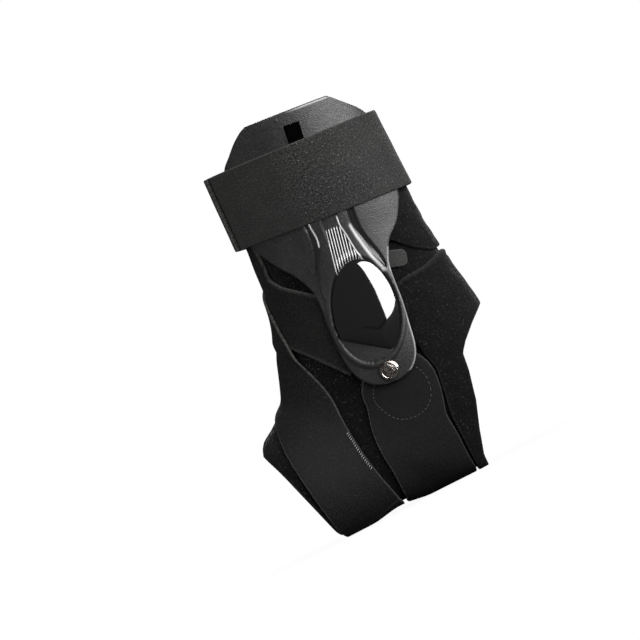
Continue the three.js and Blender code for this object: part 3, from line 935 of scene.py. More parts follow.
@dataclass(frozen=True)
class BrushedPile:
    """Brushed loop cloth: short dark pile in soft clumps, with a few pale lint fibres."""

    name: str = "brushed_pile"
    dark: float = 0.0008
    light: float = 0.0031
    lint: float = 0.03
    edge: Colour = (0.02, 0.0195, 0.019)

    def material(self) -> bpy.types.Material:
        """The finished material."""
        make = Palette(self.name)
        at = make.coordinates()
        clumps = make.noise(at, 0.22, 3.0)
        pile = make.noise(at, 1.0, 3.0, 0.65)
        loops = make.cells(at, 1.5)
        patches = make.spread(clumps, 0.34, 0.66, 0.3, 1.0)
        body = make.math("MULTIPLY", make.spread(pile, 0.36, 0.66), patches)
        tone = make.colours(body, grey(self.dark), grey(self.light))
        lint = make.spread(make.noise(at, 0.8, 2.0, 0.6), 0.61, 0.71)
        tone = make.colours(make.math("MULTIPLY", lint, 0.5), tone, grey(self.lint))
        tone = make.colours(make.math("MULTIPLY", make.attribute("edge"), 0.35), tone, self.edge)
        make.set(base_color=tone, roughness=make.spread(pile, 0.3, 0.7, 0.82, 1.0), specular_ior_level=0.06)
        make.sheen(0.035, 0.5, 0.8)
        make.bump((pile, 0.9, 0.9), (loops, 0.35, 0.35), (clumps, 0.5, 0.8))
        return make.material


@dataclass(frozen=True)
class Weave:
    """Webbing or elastic: threads along and across, with paler rims and painted glint specks."""

    name: str
    grain: Grain
    dark: float
    light: float
    pitch: float
    # Share of painted glint specks, whose painted highlight colour is the glint tone below.
    glint_share: float
    sheen: float
    glint: float = 0.2
    edge: Colour = (0.06, 0.059, 0.057)

    def material(self) -> bpy.types.Material:
        """The finished material."""
        make = Palette(self.name)
        flat, across, along = make.flat()
        drift = make.noise(flat, 0.06, 3.0)
        calm = make.math("MULTIPLY_ADD", make.attribute("gloss"), -0.72, 1.0)
        fuzz = make.math("SUBTRACT", make.noise(flat, 0.95, 2.0, 0.6), 0.5)
        fuzz = make.math("MULTIPLY_ADD", fuzz, calm, 0.5)
        wander = make.math("MULTIPLY_ADD", make.noise(flat, 0.5, 2.0), 0.5, across)
        warp = make.waves(wander, self.pitch)
        weft = make.waves(along, self.pitch * (0.8 if self.grain is Grain.WOVEN else 1.6))
        if self.grain is Grain.WOVEN:
            cloth = make.math("MAXIMUM", warp, weft)
        else:
            cloth = make.math("MULTIPLY_ADD", weft, 0.35, warp)
        threads = make.spread(cloth, 0.0, 1.3, 0.85, 1.0)
        body = make.math("MULTIPLY", make.spread(fuzz, 0.38, 0.62, 0.05, 1.15), threads)
        body = make.math("MULTIPLY", body, make.spread(drift, 0.3, 0.7, 0.75, 1.1))
        light = (self.light, self.light * 0.99, self.light * 0.96)
        tone = make.colours(body, grey(self.dark), light)
        # Painted glints: pale specks in the colour stand in for the sparkle of the fibres.
        glint = make.spread(make.noise(flat, 0.9, 2.0, 0.6), 0.62, 0.72)
        glint = make.math("MULTIPLY", make.math("MULTIPLY", glint, self.glint_share), calm)
        tone = make.colours(glint, tone, grey(self.glint))
        rims = make.math("MULTIPLY", make.attribute("edge"), make.spread(fuzz, 0.3, 0.6, 0.15, 0.55))
        tone = make.colours(rims, tone, self.edge)
        rough = make.spread(fuzz, 0.2, 0.8, 0.62, 0.92)
        make.set(base_color=tone, roughness=rough, specular_ior_level=0.14)
        make.sheen(self.sheen, 0.4, 0.85)
        make.bump((cloth, 0.3, 0.1), (fuzz, 0.6, 0.3))
        return make.material


@dataclass(frozen=True)
class MouldedPlastic:
    """Sandblasted black plastic, glossy in its moulded channels, with painted glint specks, painted
    highlights on its crests and edges, and a painted shade in its blind slot.
    """

    name: str = "moulded_plastic"
    tone: float = 0.009
    # The second number is the colour of the painted glint specks, the third the tone of the painted
    # highlights on crests and edges, and the fourth the near-black painted shade in the blind slot.
    glint_tone: float = 0.07
    painted_light: float = 0.6
    slot: float = 0.0006

    def material(self) -> bpy.types.Material:
        """The finished material."""
        make = Palette(self.name)
        at = make.coordinates()
        blast = make.noise(at, 1.35, 2.0, 0.5)
        cloud = make.noise(at, 0.05, 3.0)
        gloss = make.attribute("gloss")
        pale = (self.tone * 1.3, self.tone * 1.27, self.tone * 1.25)
        tone = make.colours(make.spread(cloud, 0.3, 0.7), grey(self.tone * 0.8), pale)
        # Painted glints: pale specks in the colour stand in for the sparkle of the sandblasted face.
        glint = make.math("MULTIPLY", make.spread(make.noise(at, 1.2, 2.0, 0.6), 0.62, 0.72), 0.3)
        glint = make.math("MULTIPLY", glint, make.math("SUBTRACT", 1.0, gloss))
        tone = make.colours(glint, tone, grey(self.glint_tone))
        # Painted highlights: the stored marks lighten ridge crests, beads and edges towards a pale tone.
        painted_light = make.attribute("edge")
        tone = make.colours(painted_light, tone, grey(self.painted_light))
        # Painted shade: where the marks go negative, the blind slot is painted near-black.
        tone = make.colours(make.math("MULTIPLY", painted_light, -1.0), tone, grey(self.slot))
        scuff = make.spread(make.noise(at, 0.35, 6.0, 0.7), 0.45, 0.7, 0.0, 0.14)
        matte = make.math("ADD", make.spread(blast, 0.3, 0.7, 0.34, 0.5), scuff)
        polished = make.spread(gloss, 0.0, 1.0, 1.0, 0.2)
        make.set(base_color=tone, roughness=make.math("MULTIPLY", matte, polished), specular_ior_level=0.38)
        height = make.math("MULTIPLY", blast, make.math("SUBTRACT", 1.0, gloss))
        make.bump((height, 0.8, 0.24))
        return make.material


@dataclass(frozen=True)
class PolishedPlastic:
    """Mirror-smooth black plastic with fine hairlines and dust."""

    name: str = "polished_plastic"
    tone: float = 0.004
    dust: float = 0.06

    def material(self) -> bpy.types.Material:
        """The finished material."""
        make = Palette(self.name)
        at = make.coordinates()
        haze = make.noise(at, 0.07, 4.0)
        dust = make.spread(make.noise(at, 2.1, 8.0, 0.9), 0.72, 0.8)
        lean = make.node("Mapping")
        lean.inputs["Scale"].default_value = (5.0, 5.0, 0.25)
        lean.inputs["Rotation"].default_value = (0.0, 0.3, 0.0)
        make.feed(lean.inputs["Vector"], at)
        hairline = make.spread(make.noise(lean.outputs[0], 1.0, 4.0, 0.6), 0.66, 0.7)
        tone = make.colours(make.math("MULTIPLY", dust, 0.25), grey(self.tone), grey(self.dust))
        scratches = make.math("MULTIPLY", hairline, 0.07)
        rough = make.math("ADD", make.spread(haze, 0.3, 0.7, 0.035, 0.075), scratches)
        make.set(base_color=tone, roughness=rough, specular_ior_level=0.8)
        make.set(coat_weight=1.0, coat_roughness=0.03)
        make.bump((make.noise(at, 0.12, 2.0), 0.12, 0.25), (hairline, 0.05, 0.02))
        return make.material


@dataclass(frozen=True)
class WornNickel:
    """Bright plated metal with a pitted, slightly tarnished face."""

    name: str = "nickel"
    bright: Colour = (0.88, 0.84, 0.81)
    dull: Colour = (0.27, 0.19, 0.15)

    def material(self) -> bpy.types.Material:
        """The finished material."""
        make = Palette(self.name)
        at = make.coordinates()
        pits = make.noise(at, 0.8, 3.0, 0.6)
        tarnish = make.spread(make.noise(at, 0.55, 5.0, 0.65), 0.42, 0.62)
        tone = make.colours(tarnish, self.bright, self.dull)
        make.set(base_color=tone, metallic=1.0, roughness=make.spread(pits, 0.3, 0.7, 0.08, 0.3))
        make.bump((pits, 0.6, 0.4))
        return make.material


@dataclass(frozen=True)
class Thread:
    """Sewing thread."""

    name: str
    tone: float

    def material(self) -> bpy.types.Material:
        """The finished material."""
        make = Palette(self.name)
        at = make.coordinates()
        ply = make.noise(at, 3.0, 3.0)
        tone = make.colours(ply, grey(self.tone * 0.5), grey(self.tone * 1.3))
        make.set(base_color=tone, roughness=make.spread(ply, 0.3, 0.7, 0.5, 0.8))
        make.bump((ply, 0.6, 0.1))
        return make.material


@dataclass(frozen=True)
class Finishes:
    """Every finish of the support, each built once."""

    pile: bpy.types.Material
    panel: bpy.types.Material
    webbing: bpy.types.Material
    elastic: bpy.types.Material
    band: bpy.types.Material
    tab: bpy.types.Material
    moulded: bpy.types.Material
    polished: bpy.types.Material
    nickel: bpy.types.Material
    pale_thread: bpy.types.Material
    dark_thread: bpy.types.Material

    @staticmethod
    def build() -> "Finishes":
        """Makes the materials."""
        looks = (
            BrushedPile(),
            BrushedPile("brushed_pile_heel", dark=0.001, light=0.0042),
            Weave("webbing", Grain.WOVEN, dark=0.002, light=0.0043, pitch=0.8, glint_share=0.05, sheen=0.01),
            Weave("elastic", Grain.RIBBED, dark=0.002, light=0.0062, pitch=0.7, glint_share=0.06, sheen=0.02),
            Weave("band_elastic", Grain.RIBBED, dark=0.002, light=0.019, pitch=0.85, glint_share=0.35, sheen=0.04),
            Weave("tab_webbing", Grain.WOVEN, dark=0.008, light=0.02, pitch=0.6, glint_share=0.1, sheen=0.02),
            MouldedPlastic(),
            PolishedPlastic(),
            WornNickel(),
            Thread("pale_thread", 0.3),
            Thread("dark_thread", 0.035),
        )
        return Finishes(*(look.material() for look in looks))


# ---- Layers


@dataclass(frozen=True)
class Layers:
    """Heights above the skin at which the pieces lie."""

    gap: float = 0.5
    wrap: float = 2.5
    panel: float = 2.0
    strap: float = 1.6
    tab: float = 1.2
    doubling: float = 1.0
    plate: float = 2.0

    @property
    def first(self) -> float:
        """Underside of what lies on the foot wrap."""
        return self.wrap + self.gap

    @property
    def plate_seat(self) -> float:
        """Underside of the side plates."""
        return self.first + self.panel + self.gap

    @property
    def plate_top(self) -> float:
        """Face of the side plates."""
        return self.plate_seat + self.plate


HEEL_EDGE = ((0.171, -0.05), (0.173, 0.03), (0.201, 0.09), (0.238, 0.156), (0.265, 0.229), (0.274, 0.272))
HEEL_EDGE_BACK = ((0.303, 0.295), (0.357, 0.327), (0.423, 0.361), (0.55, 0.426))


def side_outline(form: AnkleForm, shares: Sequence[tuple[float, float]]) -> Floats:
    """Outline seen from the side, in millimetres."""
    return np.array(shares) * np.array([form.foot_reach, form.leg_height])


@dataclass
class Sleeves:
    """The cloth that goes round the foot and ankle: foot wrap, heel panel and rear flap."""

    form: AnkleForm
    layers: Layers
    finishes: Finishes
    band_lower_row: float = 3.0
    band_width: float = 45.0
    stirrup_width: float = 42.0
    seam_gap: float = 2.0
    sole_height: float = 12.0
    edge_lines: tuple[float, ...] = (0.0, 0.25, 0.7, 1.4, 2.6)
    wrap_ripples: tuple[Ripple, ...] = (Ripple(0.16, 17.0, 3), Ripple(0.05, 4.5, 4))
    panel_ripples: tuple[Ripple, ...] = (Ripple(0.2, 15.0, 5), Ripple(0.06, 4.0, 6))
    flap_ripples: tuple[Ripple, ...] = (Ripple(0.22, 16.0, 11), Ripple(0.06, 4.5, 12))

    def _places(self, flat: Floats) -> Places:
        """Places of flat points: angle, and row."""
        return Places(flat[:, 1], flat[:, 0])

    def _seen(self, flat: Floats, height: float) -> Floats:
        """Where flat points show from the side.

        Args:
            flat: Angle and row of each.
            height: Above the skin.

        Returns:
            Their x and z.
        """
        return self.form.layer(self._places(flat), level(flat, height))[:, [0, 2]]

    def _on_wrap(self, flat: Floats) -> Floats:
        """Underside of a cloth that lies on the foot wrap."""
        return self.form.layer(self._places(flat), level(flat, self.layers.first))

    def _loose(self, skin: Floats, ripples: Sequence[Ripple]) -> Floats:
        """Soft waves that stay off the sole."""
        return np.where(skin[:, 2] > self.sole_height, rippled(skin, ripples), 0.0)

    def _row_span(self, flat: Floats, row: float) -> Floats:
        """Rough distance in millimetres from a row's line."""
        by_row, _ = self.form.tangents(self._places(flat))
        return np.abs(flat[:, 1] - row) * np.linalg.norm(by_row, axis=1)

    def _chart(self, flat: Floats) -> Floats:
        """Pattern coordinates in millimetres."""
        return np.column_stack([flat[:, 0] * 38.0, flat[:, 1] * 12.0])

    def top_row(self) -> float:
        """Row of the hidden upper edge, under the calf band."""
        return self.form.row_above(self.band_lower_row, 0.75 * self.band_width)

    def foot_wrap(self) -> bpy.types.Object:
        """The brushed body round ankle and midfoot, open at the toes and the heel."""
        form, thick = self.form, self.layers.wrap
        top, toe = self.top_row(), len(form.sections) - 1.0
        cut = FlatCut(lines(-math.pi, math.pi, math.radians(2.2)), lines(top, toe, 0.11, 0.08))
        behind = ((0.8, 0.426), (0.8, -0.2), (0.171, -0.2))
        heel = side_outline(form, HEEL_EDGE + HEEL_EDGE_BACK + behind)
        mid = thick / 2

        def inside(flat: Floats) -> Floats:
            return -inside_outline(self._seen(flat, mid), heel)

        cut.trim(inside, (0.0, 0.25, 0.8, 1.6))

        def from_edge(flat: Floats) -> Floats:
            ends = np.minimum(self._row_span(flat, top), self._row_span(flat, toe))
            return np.minimum(np.maximum(inside(flat), 0.0), ends)

        def outer(flat: Floats) -> Floats:
            at, edge = self._places(flat), from_edge(flat)
            loose = self._loose(form.skin(at), self.wrap_ripples) * smoothstep(edge, 0.0, 6.0)
            return form.layer(at, thick * rim(edge, 1.5, 0.35) + loose)

        cut.lay(lambda flat: form.layer(self._places(flat), level(flat, 0.0)), outer, math.pi, self._chart)
        cut.paint("edge", lambda flat: 1.0 - smoothstep(from_edge(flat), 0.2, 1.4))
        cut.close()
        piece = to_object(cut.bm, "foot_wrap_cloth", self.finishes.pile, "fleece", ["foot_wrap"], 60.0)
        return piece

    def heel_panel(self) -> bpy.types.Object:
        """The sling behind the heel, with a rolled top edge and a puckered stretch zone."""
        form, layers = self.form, self.layers
        cut = FlatCut(lines(0.0, 2 * math.pi, math.radians(1.6)), lines(5.0, 11.5, 0.06, 0.0))
        stirrup_edge = (self.stirrup_width / 2 + self.seam_gap) / form.foot_reach
        top = ((0.55, 0.523), (0.38, 0.521), (0.327, 0.509), (0.281, 0.502), (0.202, 0.5), (0.113, 0.487))
        front = (
            (0.113, 0.4), (0.135, 0.339), (0.007 + stirrup_edge, 0.27),
            (-0.023 + stirrup_edge, 0.15), (-0.023 + stirrup_edge, -0.05),
        )
        outline = side_outline(form, HEEL_EDGE + HEEL_EDGE_BACK + top + front)
        upper = side_outline(form, top + ((0.113, 0.2), (0.55, 0.2)))
        mid = layers.first + layers.panel / 2

        def inside(flat: Floats) -> Floats:
            return inside_outline(self._seen(flat, mid), outline)

        cut.trim(inside, self.edge_lines)

        def from_top(seen: Floats) -> Floats:
            return np.where(seen[:, 1] > 0.44 * form.leg_height, inside_outline(seen, upper), 99.0)

        def pucker(seen: Floats, skin: Floats) -> Floats:
            x, z = seen[:, 0], seen[:, 1]
            line_x = 28.7 + (103.0 - z) * 0.0675
            zone = crest(x - line_x, 3.2) * smoothstep(z, 60, 70) * (1.0 - smoothstep(z, 96, 106))
            return 0.32 * np.sin(z * 2 * math.pi / 3.3 + undulation(skin, 9.0, 8)) * zone

        def outer(flat: Floats) -> Floats:
            at = self._places(flat)
            skin, seen = form.skin(at), self._seen(flat, mid)
            edge = np.maximum(inside(flat), 0.0)
            roll = 0.55 * crest(from_top(seen) - 1.7, 1.1) - 0.35 * crest(from_top(seen) - 4.2, 0.9)
            loose = self._loose(skin, self.panel_ripples) * smoothstep(edge, 0.0, 6.0)
            thick = layers.panel * rim(edge, 1.4, 0.35)
            return form.layer(at, layers.first + thick + roll + pucker(seen, skin) + loose)

        def pale(flat: Floats) -> Floats:
            rolled = 1.0 - smoothstep(from_top(self._seen(flat, mid)), 1.5, 3.0)
            return np.maximum(1.0 - smoothstep(inside(flat), 0.2, 1.2), 0.55 * rolled)

        cut.lay(self._on_wrap, outer, chart=self._chart)
        cut.paint("edge", pale)
        cut.close()
        piece = to_object(cut.bm, "heel_panel_cloth", self.finishes.panel, "fleece", ["heel_panel"], 60.0)
        return piece

    def rear_flap(self) -> bpy.types.Object:
        """The upper layer at the back of the ankle, with a slanting lower edge."""
        form, layers = self.form, self.layers
        top = self.form.row_above(self.band_lower_row, 0.4 * self.band_width)
        cut = FlatCut(lines(0.0, 2 * math.pi, math.radians(1.8)), lines(top, 7.0, 0.07, 0.05))
        edge = ((0.12, 0.622), (0.23, 0.593), (0.294, 0.553), (0.349, 0.53), (0.55, 0.528))
        outline = side_outline(form, edge + ((0.55, 1.2), (0.12, 1.2)))
        mid = layers.first + layers.panel / 2

        def inside(flat: Floats) -> Floats:
            return inside_outline(self._seen(flat, mid), outline)

        cut.trim(inside, self.edge_lines)

        def from_edge(flat: Floats) -> Floats:
            return np.minimum(np.maximum(inside(flat), 0.0), self._row_span(flat, top))

        def outer(flat: Floats) -> Floats:
            at, edge = self._places(flat), from_edge(flat)
            skin = form.skin(at)
            free = smoothstep(edge, 0.0, 5.0) * (1.0 - smoothstep(skin[:, 2], 150.0, 160.0))
            thick = layers.panel * rim(edge, 1.4, 0.35)
            return form.layer(at, layers.first + thick + rippled(skin, self.flap_ripples) * free)

        cut.lay(self._on_wrap, outer, chart=self._chart)
        cut.paint("edge", lambda flat: 1.0 - smoothstep(from_edge(flat), 0.2, 1.2))
        cut.close()
        piece = to_object(cut.bm, "rear_flap_cloth", self.finishes.pile, "fleece", ["rear_flap"], 60.0)
        return piece


@dataclass
class Stitching:
    """Rows of stitches, each a short rounded thread pressed into the cloth."""

    name: str
    material: bpy.types.Material
    slot: str
    radius: float = 0.22
    bm: bmesh.types.BMesh = field(default_factory=bmesh.new)

    def add(self, start: Floats, end: Floats) -> None:
        """Sews stitches.

        Args:
            start: Where each stitch starts, in millimetres.
            end: Where each one ends.
        """
        for a, b in zip(start, end):
            along = Vector(b - a)
            if along.length < 1e-6:
                continue
            made = bmesh.ops.create_uvsphere(self.bm, u_segments=6, v_segments=4, radius=1.0)
            size = Matrix.Diagonal((self.radius, self.radius, along.length / 2, 1.0))
            turn = along.to_track_quat("Z", "Y").to_matrix().to_4x4()
            place = Matrix.Scale(MILLIMETRE, 4) @ Matrix.Translation(Vector((a + b) / 2)) @ turn @ size
            bmesh.ops.transform(self.bm, matrix=place, verts=made["verts"])

    def finish(self) -> bpy.types.Object:
        """Makes the object."""
        return to_object(self.bm, self.name, self.material, self.slot, (), 80.0)


@dataclass
class Straps:
    """The four straps that follow a route over the foot and ankle."""

    form: AnkleForm
    layers: Layers
    finishes: Finishes
    stirrup_width: float = 42.0
    cross_width: float = 34.0
    front_width: float = 37.0
    front_doubled: float = 52.0
    tab_width: float = 10.0
    edge_margin: float = 3.0
    edge_ramp: float = 5.0
    ring_radius: float = 15.5
    ring_centre: float = 23.0
    hem_line: float = 16.0
    ripples: tuple[Ripple, ...] = (Ripple(0.05, 14.0, 21),)
    stirrup_stops: tuple[Stop, ...] = (
        Stop(0.007, 0.357, Side.INNER),
        Stop(0.007, 0.265, Side.INNER),
        Stop(-0.023, 0.183, Side.INNER),
        Stop(-0.023, 0.096, Side.INNER),
        Stop(-0.023, 0.035, Side.INNER),
        Stop(-0.023, 0.0, Side.MIDDLE),
        Stop(-0.023, 0.035, Side.OUTER),
        Stop(-0.023, 0.096, Side.OUTER),
        Stop(-0.023, 0.183, Side.OUTER),
        Stop(0.007, 0.265, Side.OUTER),
        Stop(0.007, 0.357, Side.OUTER),
    )
    cross_stops: tuple[Stop, ...] = (
        Stop(-0.04, 0.391, Side.INNER),
        Stop(-0.177, 0.502, Side.INNER),
        Stop(-0.253, 0.57, Side.INNER),
        Stop(-0.28, 0.63, Side.MIDDLE),
        Stop(-0.26, 0.687, Side.OUTER),
        Stop(-0.233, 0.765, Side.OUTER),
        Stop(-0.22, 0.826, Side.OUTER),
    )
    front_stops: tuple[Stop, ...] = (
        Stop(-0.3, 0.003, Side.INNER),
        Stop(-0.333, 0.087, Side.INNER),
        Stop(-0.36, 0.217, Side.INNER),
        Stop(-0.347, 0.339, Side.INNER),
        Stop(-0.333, 0.47, Side.MIDDLE),
        Stop(-0.253, 0.539, Side.OUTER),
        Stop(-0.113, 0.596, Side.OUTER),
        Stop(0.0, 0.639, Side.OUTER),
    )
    tab_stops: tuple[Stop, ...] = (
        Stop(0.133, 0.566, Side.INNER),
        Stop(0.24, 0.54, Side.INNER),
    )

    def _strap(
        self,
        name: str,
        node: str,
        route: Route,
        width: float,
        base: Callable[[Floats, Places], Floats],
        thickness: Callable[[Floats], Floats],
        material: bpy.types.Material,
        slot: str,
        corner: float,
        edge_mark: Callable[[Floats], Floats],
    ) -> bpy.types.Object:
        """Makes one strap.

        Args:
            name: Name of the piece.
            node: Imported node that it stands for.
            route: Its middle line.
            width: Its width.
            base: Height of its underside, for flat points and their places.
            thickness: Its thickness, for flat points.
            material: Its finish.
            slot: The record's slot.
            corner: Radius of its corners.
            edge_mark: How pale its edge is, for flat points.

        Returns:
            The object.
        """
        length = route.length
        step = 1.3
        cut = FlatCut(lines(-width / 2, width / 2, step, 0.9), lines(0.0, length, step, 0.9))

        def inside(flat: Floats) -> Floats:
            reach_u = np.abs(flat[:, 0]) - (width / 2 - corner)
            reach_v = np.abs(flat[:, 1] - length / 2) - (length / 2 - corner)
            past = np.hypot(np.maximum(reach_u, 0.0), np.maximum(reach_v, 0.0))
            return corner - past - np.minimum(np.maximum(reach_u, reach_v), 0.0)

        if corner > 0.5:
            cut.trim(lambda flat: inside(flat) + 1e-4, (0.0, 0.2, 0.6))

        def under(flat: Floats) -> Floats:
            at = route.places(flat)
            return self.form.layer(at, base(flat, at))

        def over(flat: Floats) -> Floats:
            at = route.places(flat)
            share = rim(np.maximum(inside(flat), 0.0), 0.8, 0.4)
            soft = rippled(self.form.skin(at), self.ripples)
            return self.form.layer(at, base(flat, at) + thickness(flat) * share + soft)

        def pale(flat: Floats) -> Floats:
            return np.clip(edge_mark(flat) + 1.0 - smoothstep(inside(flat), 0.1, 0.8), 0, 1)

        cut.lay(under, over)
        cut.paint("edge", pale)
        cut.close()
        piece = to_object(cut.bm, name, material, slot, [node], 60.0)
        return piece

    def stirrup(self) -> bpy.types.Object:
        """Webbing under the sole to both rivets."""
        route = Route(self.form, self.stirrup_stops)
        made = self._strap(
            "stirrup_webbing", "stirrup_strap", route, self.stirrup_width,
            lambda flat, at: level(flat, self.layers.first),
            lambda flat: level(flat, self.layers.strap),
            self.finishes.webbing, "webbing", self.stirrup_width / 2 - 0.05, lambda flat: level(flat, 0.0),
        )
        stitches = Stitching("stirrup_stitches", self.finishes.dark_thread, "webbing", 0.2)
        face = self.layers.first + self.layers.strap + 0.02
        for centre in (self.ring_centre, route.length - self.ring_centre):
            ends = []
            for turn in (np.radians(np.arange(0.0, 360.0, 9.0)) + length for length in (0.0, 0.1)):
                across, along = self.ring_radius * np.cos(turn), self.ring_radius * np.sin(turn)
                ends.append(self._on(route, np.column_stack([across, centre + along]), face))
            stitches.add(*ends)
        stitches.finish()
        return made

    def _on(self, route: Route, flat: Floats, height: float) -> Floats:
        """Points on a strap's face.

        Args:
            route: The strap's middle line.
            flat: Points on the flat strap.
            height: Above the skin.

        Returns:
            A point in millimetres for each.
        """
        return self.form.layer(route.places(flat), level(flat, height))

    def cross(self) -> bpy.types.Object:
        """Lower strap across the front of the ankle."""
        return self._strap(
            "cross_elastic", "cross_strap", Route(self.form, self.cross_stops), self.cross_width,
            lambda flat, at: level(flat, self.layers.first),
            lambda flat: self.layers.strap + 0.25 * crest(np.abs(flat[:, 0]) - 15.6, 0.8),
            self.finishes.elastic, "elastic", 0.0,
            lambda flat: 0.45 * crest(np.abs(flat[:, 0]) - 15.8, 0.5),
        )

    def front(self) -> bpy.types.Object:
        """Outermost strap, doubled at its sole end."""
        route = Route(self.form, self.front_stops)
        crossed = Route(self.form, self.cross_stops)
        layers = self.layers

        def base(flat: Floats, at: Places) -> Floats:
            past = crossed.away(at) - self.cross_width / 2 - self.edge_margin
            return layers.first + (layers.strap + layers.gap) * (1.0 - smoothstep(past, 0.0, self.edge_ramp))

        def thickness(flat: Floats) -> Floats:
            doubled = 1.0 - smoothstep(flat[:, 1], self.front_doubled - 4.0, self.front_doubled + 8.0)
            return layers.strap + layers.doubling * doubled - 0.3 * crest(flat[:, 1] - self.hem_line, 0.45)

        def mark(flat: Floats) -> Floats:
            return 0.7 * crest(flat[:, 1] - self.hem_line - 0.6, 0.35)

        made = self._strap(
            "front_elastic", "front_strap", route, self.front_width, base, thickness,
            self.finishes.elastic, "elastic", 0.0, mark,
        )
        stitches = Stitching("front_strap_stitches", self.finishes.pale_thread, "elastic", 0.16)
        along = np.arange(40.0, 66.0, 1.5)
        top = layers.first + layers.strap + layers.doubling
        edge = -(self.front_width / 2 - 0.9)
        inner = np.column_stack([np.full(len(along), edge + 1.3), along])
        outer = np.column_stack([np.full(len(along), edge), along + 0.75])
        stitches.add(self._on(route, inner, top), self._on(route, outer, top))
        stitches.finish()
        return made

    def tab(self) -> bpy.types.Object:
        """Small lighter tab that shows below the rear flap."""
        return self._strap(
            "tab_webbing", "closure_tab", Route(self.form, self.tab_stops), self.tab_width,
            lambda flat, at: level(flat, self.layers.first),
            lambda flat: level(flat, self.layers.tab),
            self.finishes.tab, "webbing", 3.5, lambda flat: level(flat, 0.0),
        )


@dataclass
class CalfBand:
    """Wide elastic over the tops of both plates, wound so that its outer end lies on itself in front."""

    form: AnkleForm
    layers: Layers
    finishes: Finishes
    lower_row: float = 3.0
    width: float = 45.0
    start: float = math.radians(35.0)
    end: float = math.radians(-378.0)
    hem: float = 4.0
    steps: int = 800
    grid_step: float = 1.3
    ripples: tuple[Ripple, ...] = (Ripple(0.07, 20.0, 31),)

    def build(self) -> bpy.types.Object:
        """Makes the band, with its doubled hem along the outer end."""
        form, layers = self.form, self.layers
        top = form.row_above(self.lower_row, self.width)
        turns = np.linspace(self.end, self.start, self.steps)
        middle = form.free(Places(level(turns, (top + self.lower_row) / 2), turns), level(turns, 8.0))
        arc = np.concatenate([[0.0], np.cumsum(np.linalg.norm(np.diff(middle, axis=0), axis=1))])
        cut = FlatCut(lines(0.0, arc[-1], self.grid_step, 0.9), lines(0.0, self.width, self.grid_step, 0.9))
        step = layers.strap + layers.gap

        def places(flat: Floats) -> Places:
            row = self.lower_row + (top - self.lower_row) * flat[:, 1] / self.width
            return Places(row, np.interp(flat[:, 0], arc, turns))

        def base(at: Places) -> Floats:
            from_front = np.arccos(np.clip(np.cos(at.angle), -1, 1))
            over_flap = layers.first + layers.panel + layers.gap
            over_plate = layers.plate_top + layers.gap
            front = smoothstep(from_front, 0.0, math.radians(14))
            back = smoothstep(math.pi - from_front, 0.0, math.radians(14))
            over_start = 1.0 - smoothstep(at.angle, math.radians(-322), math.radians(-298))
            return over_flap + (over_plate - over_flap) * np.minimum(front, back) + step * over_start

        def from_edge(flat: Floats) -> Floats:
            ends = np.minimum(flat[:, 0], arc[-1] - flat[:, 0])
            return np.minimum(ends, np.minimum(flat[:, 1], self.width - flat[:, 1]))

        def outer(flat: Floats) -> Floats:
            at = places(flat)
            hem = 0.35 * (1.0 - smoothstep(flat[:, 0], self.hem - 0.3, self.hem + 0.3))
            hem -= 0.3 * crest(flat[:, 0] - self.hem - 0.5, 0.4)
            thick = layers.strap * rim(from_edge(flat), 0.8, 0.4)
            return form.free(at, base(at) + thick + hem + rippled(form.skin(at), self.ripples))

        cut.lay(lambda flat: form.free(places(flat), base(places(flat))), outer)

        def mark(flat: Floats) -> Floats:
            hem = 0.12 * (1.0 - smoothstep(flat[:, 0], self.hem - 0.4, self.hem))
            return np.clip(hem + 0.6 * (1.0 - smoothstep(from_edge(flat), 0.1, 0.7)), 0, 1)

        cut.paint("edge", mark)
        cut.paint("gloss", lambda flat: smoothstep(flat[:, 0], arc[-1] - 104.0, arc[-1] - 82.0))
        cut.close()
        piece = to_object(cut.bm, "calf_band_elastic", self.finishes.band, "elastic", ["calf_band"], 60.0)
        return piece


@dataclass(frozen=True)
class PlateRow:
    """Half widths of a side plate at one height, in shares of its width and length."""

    up: float
    front: float
    back: float


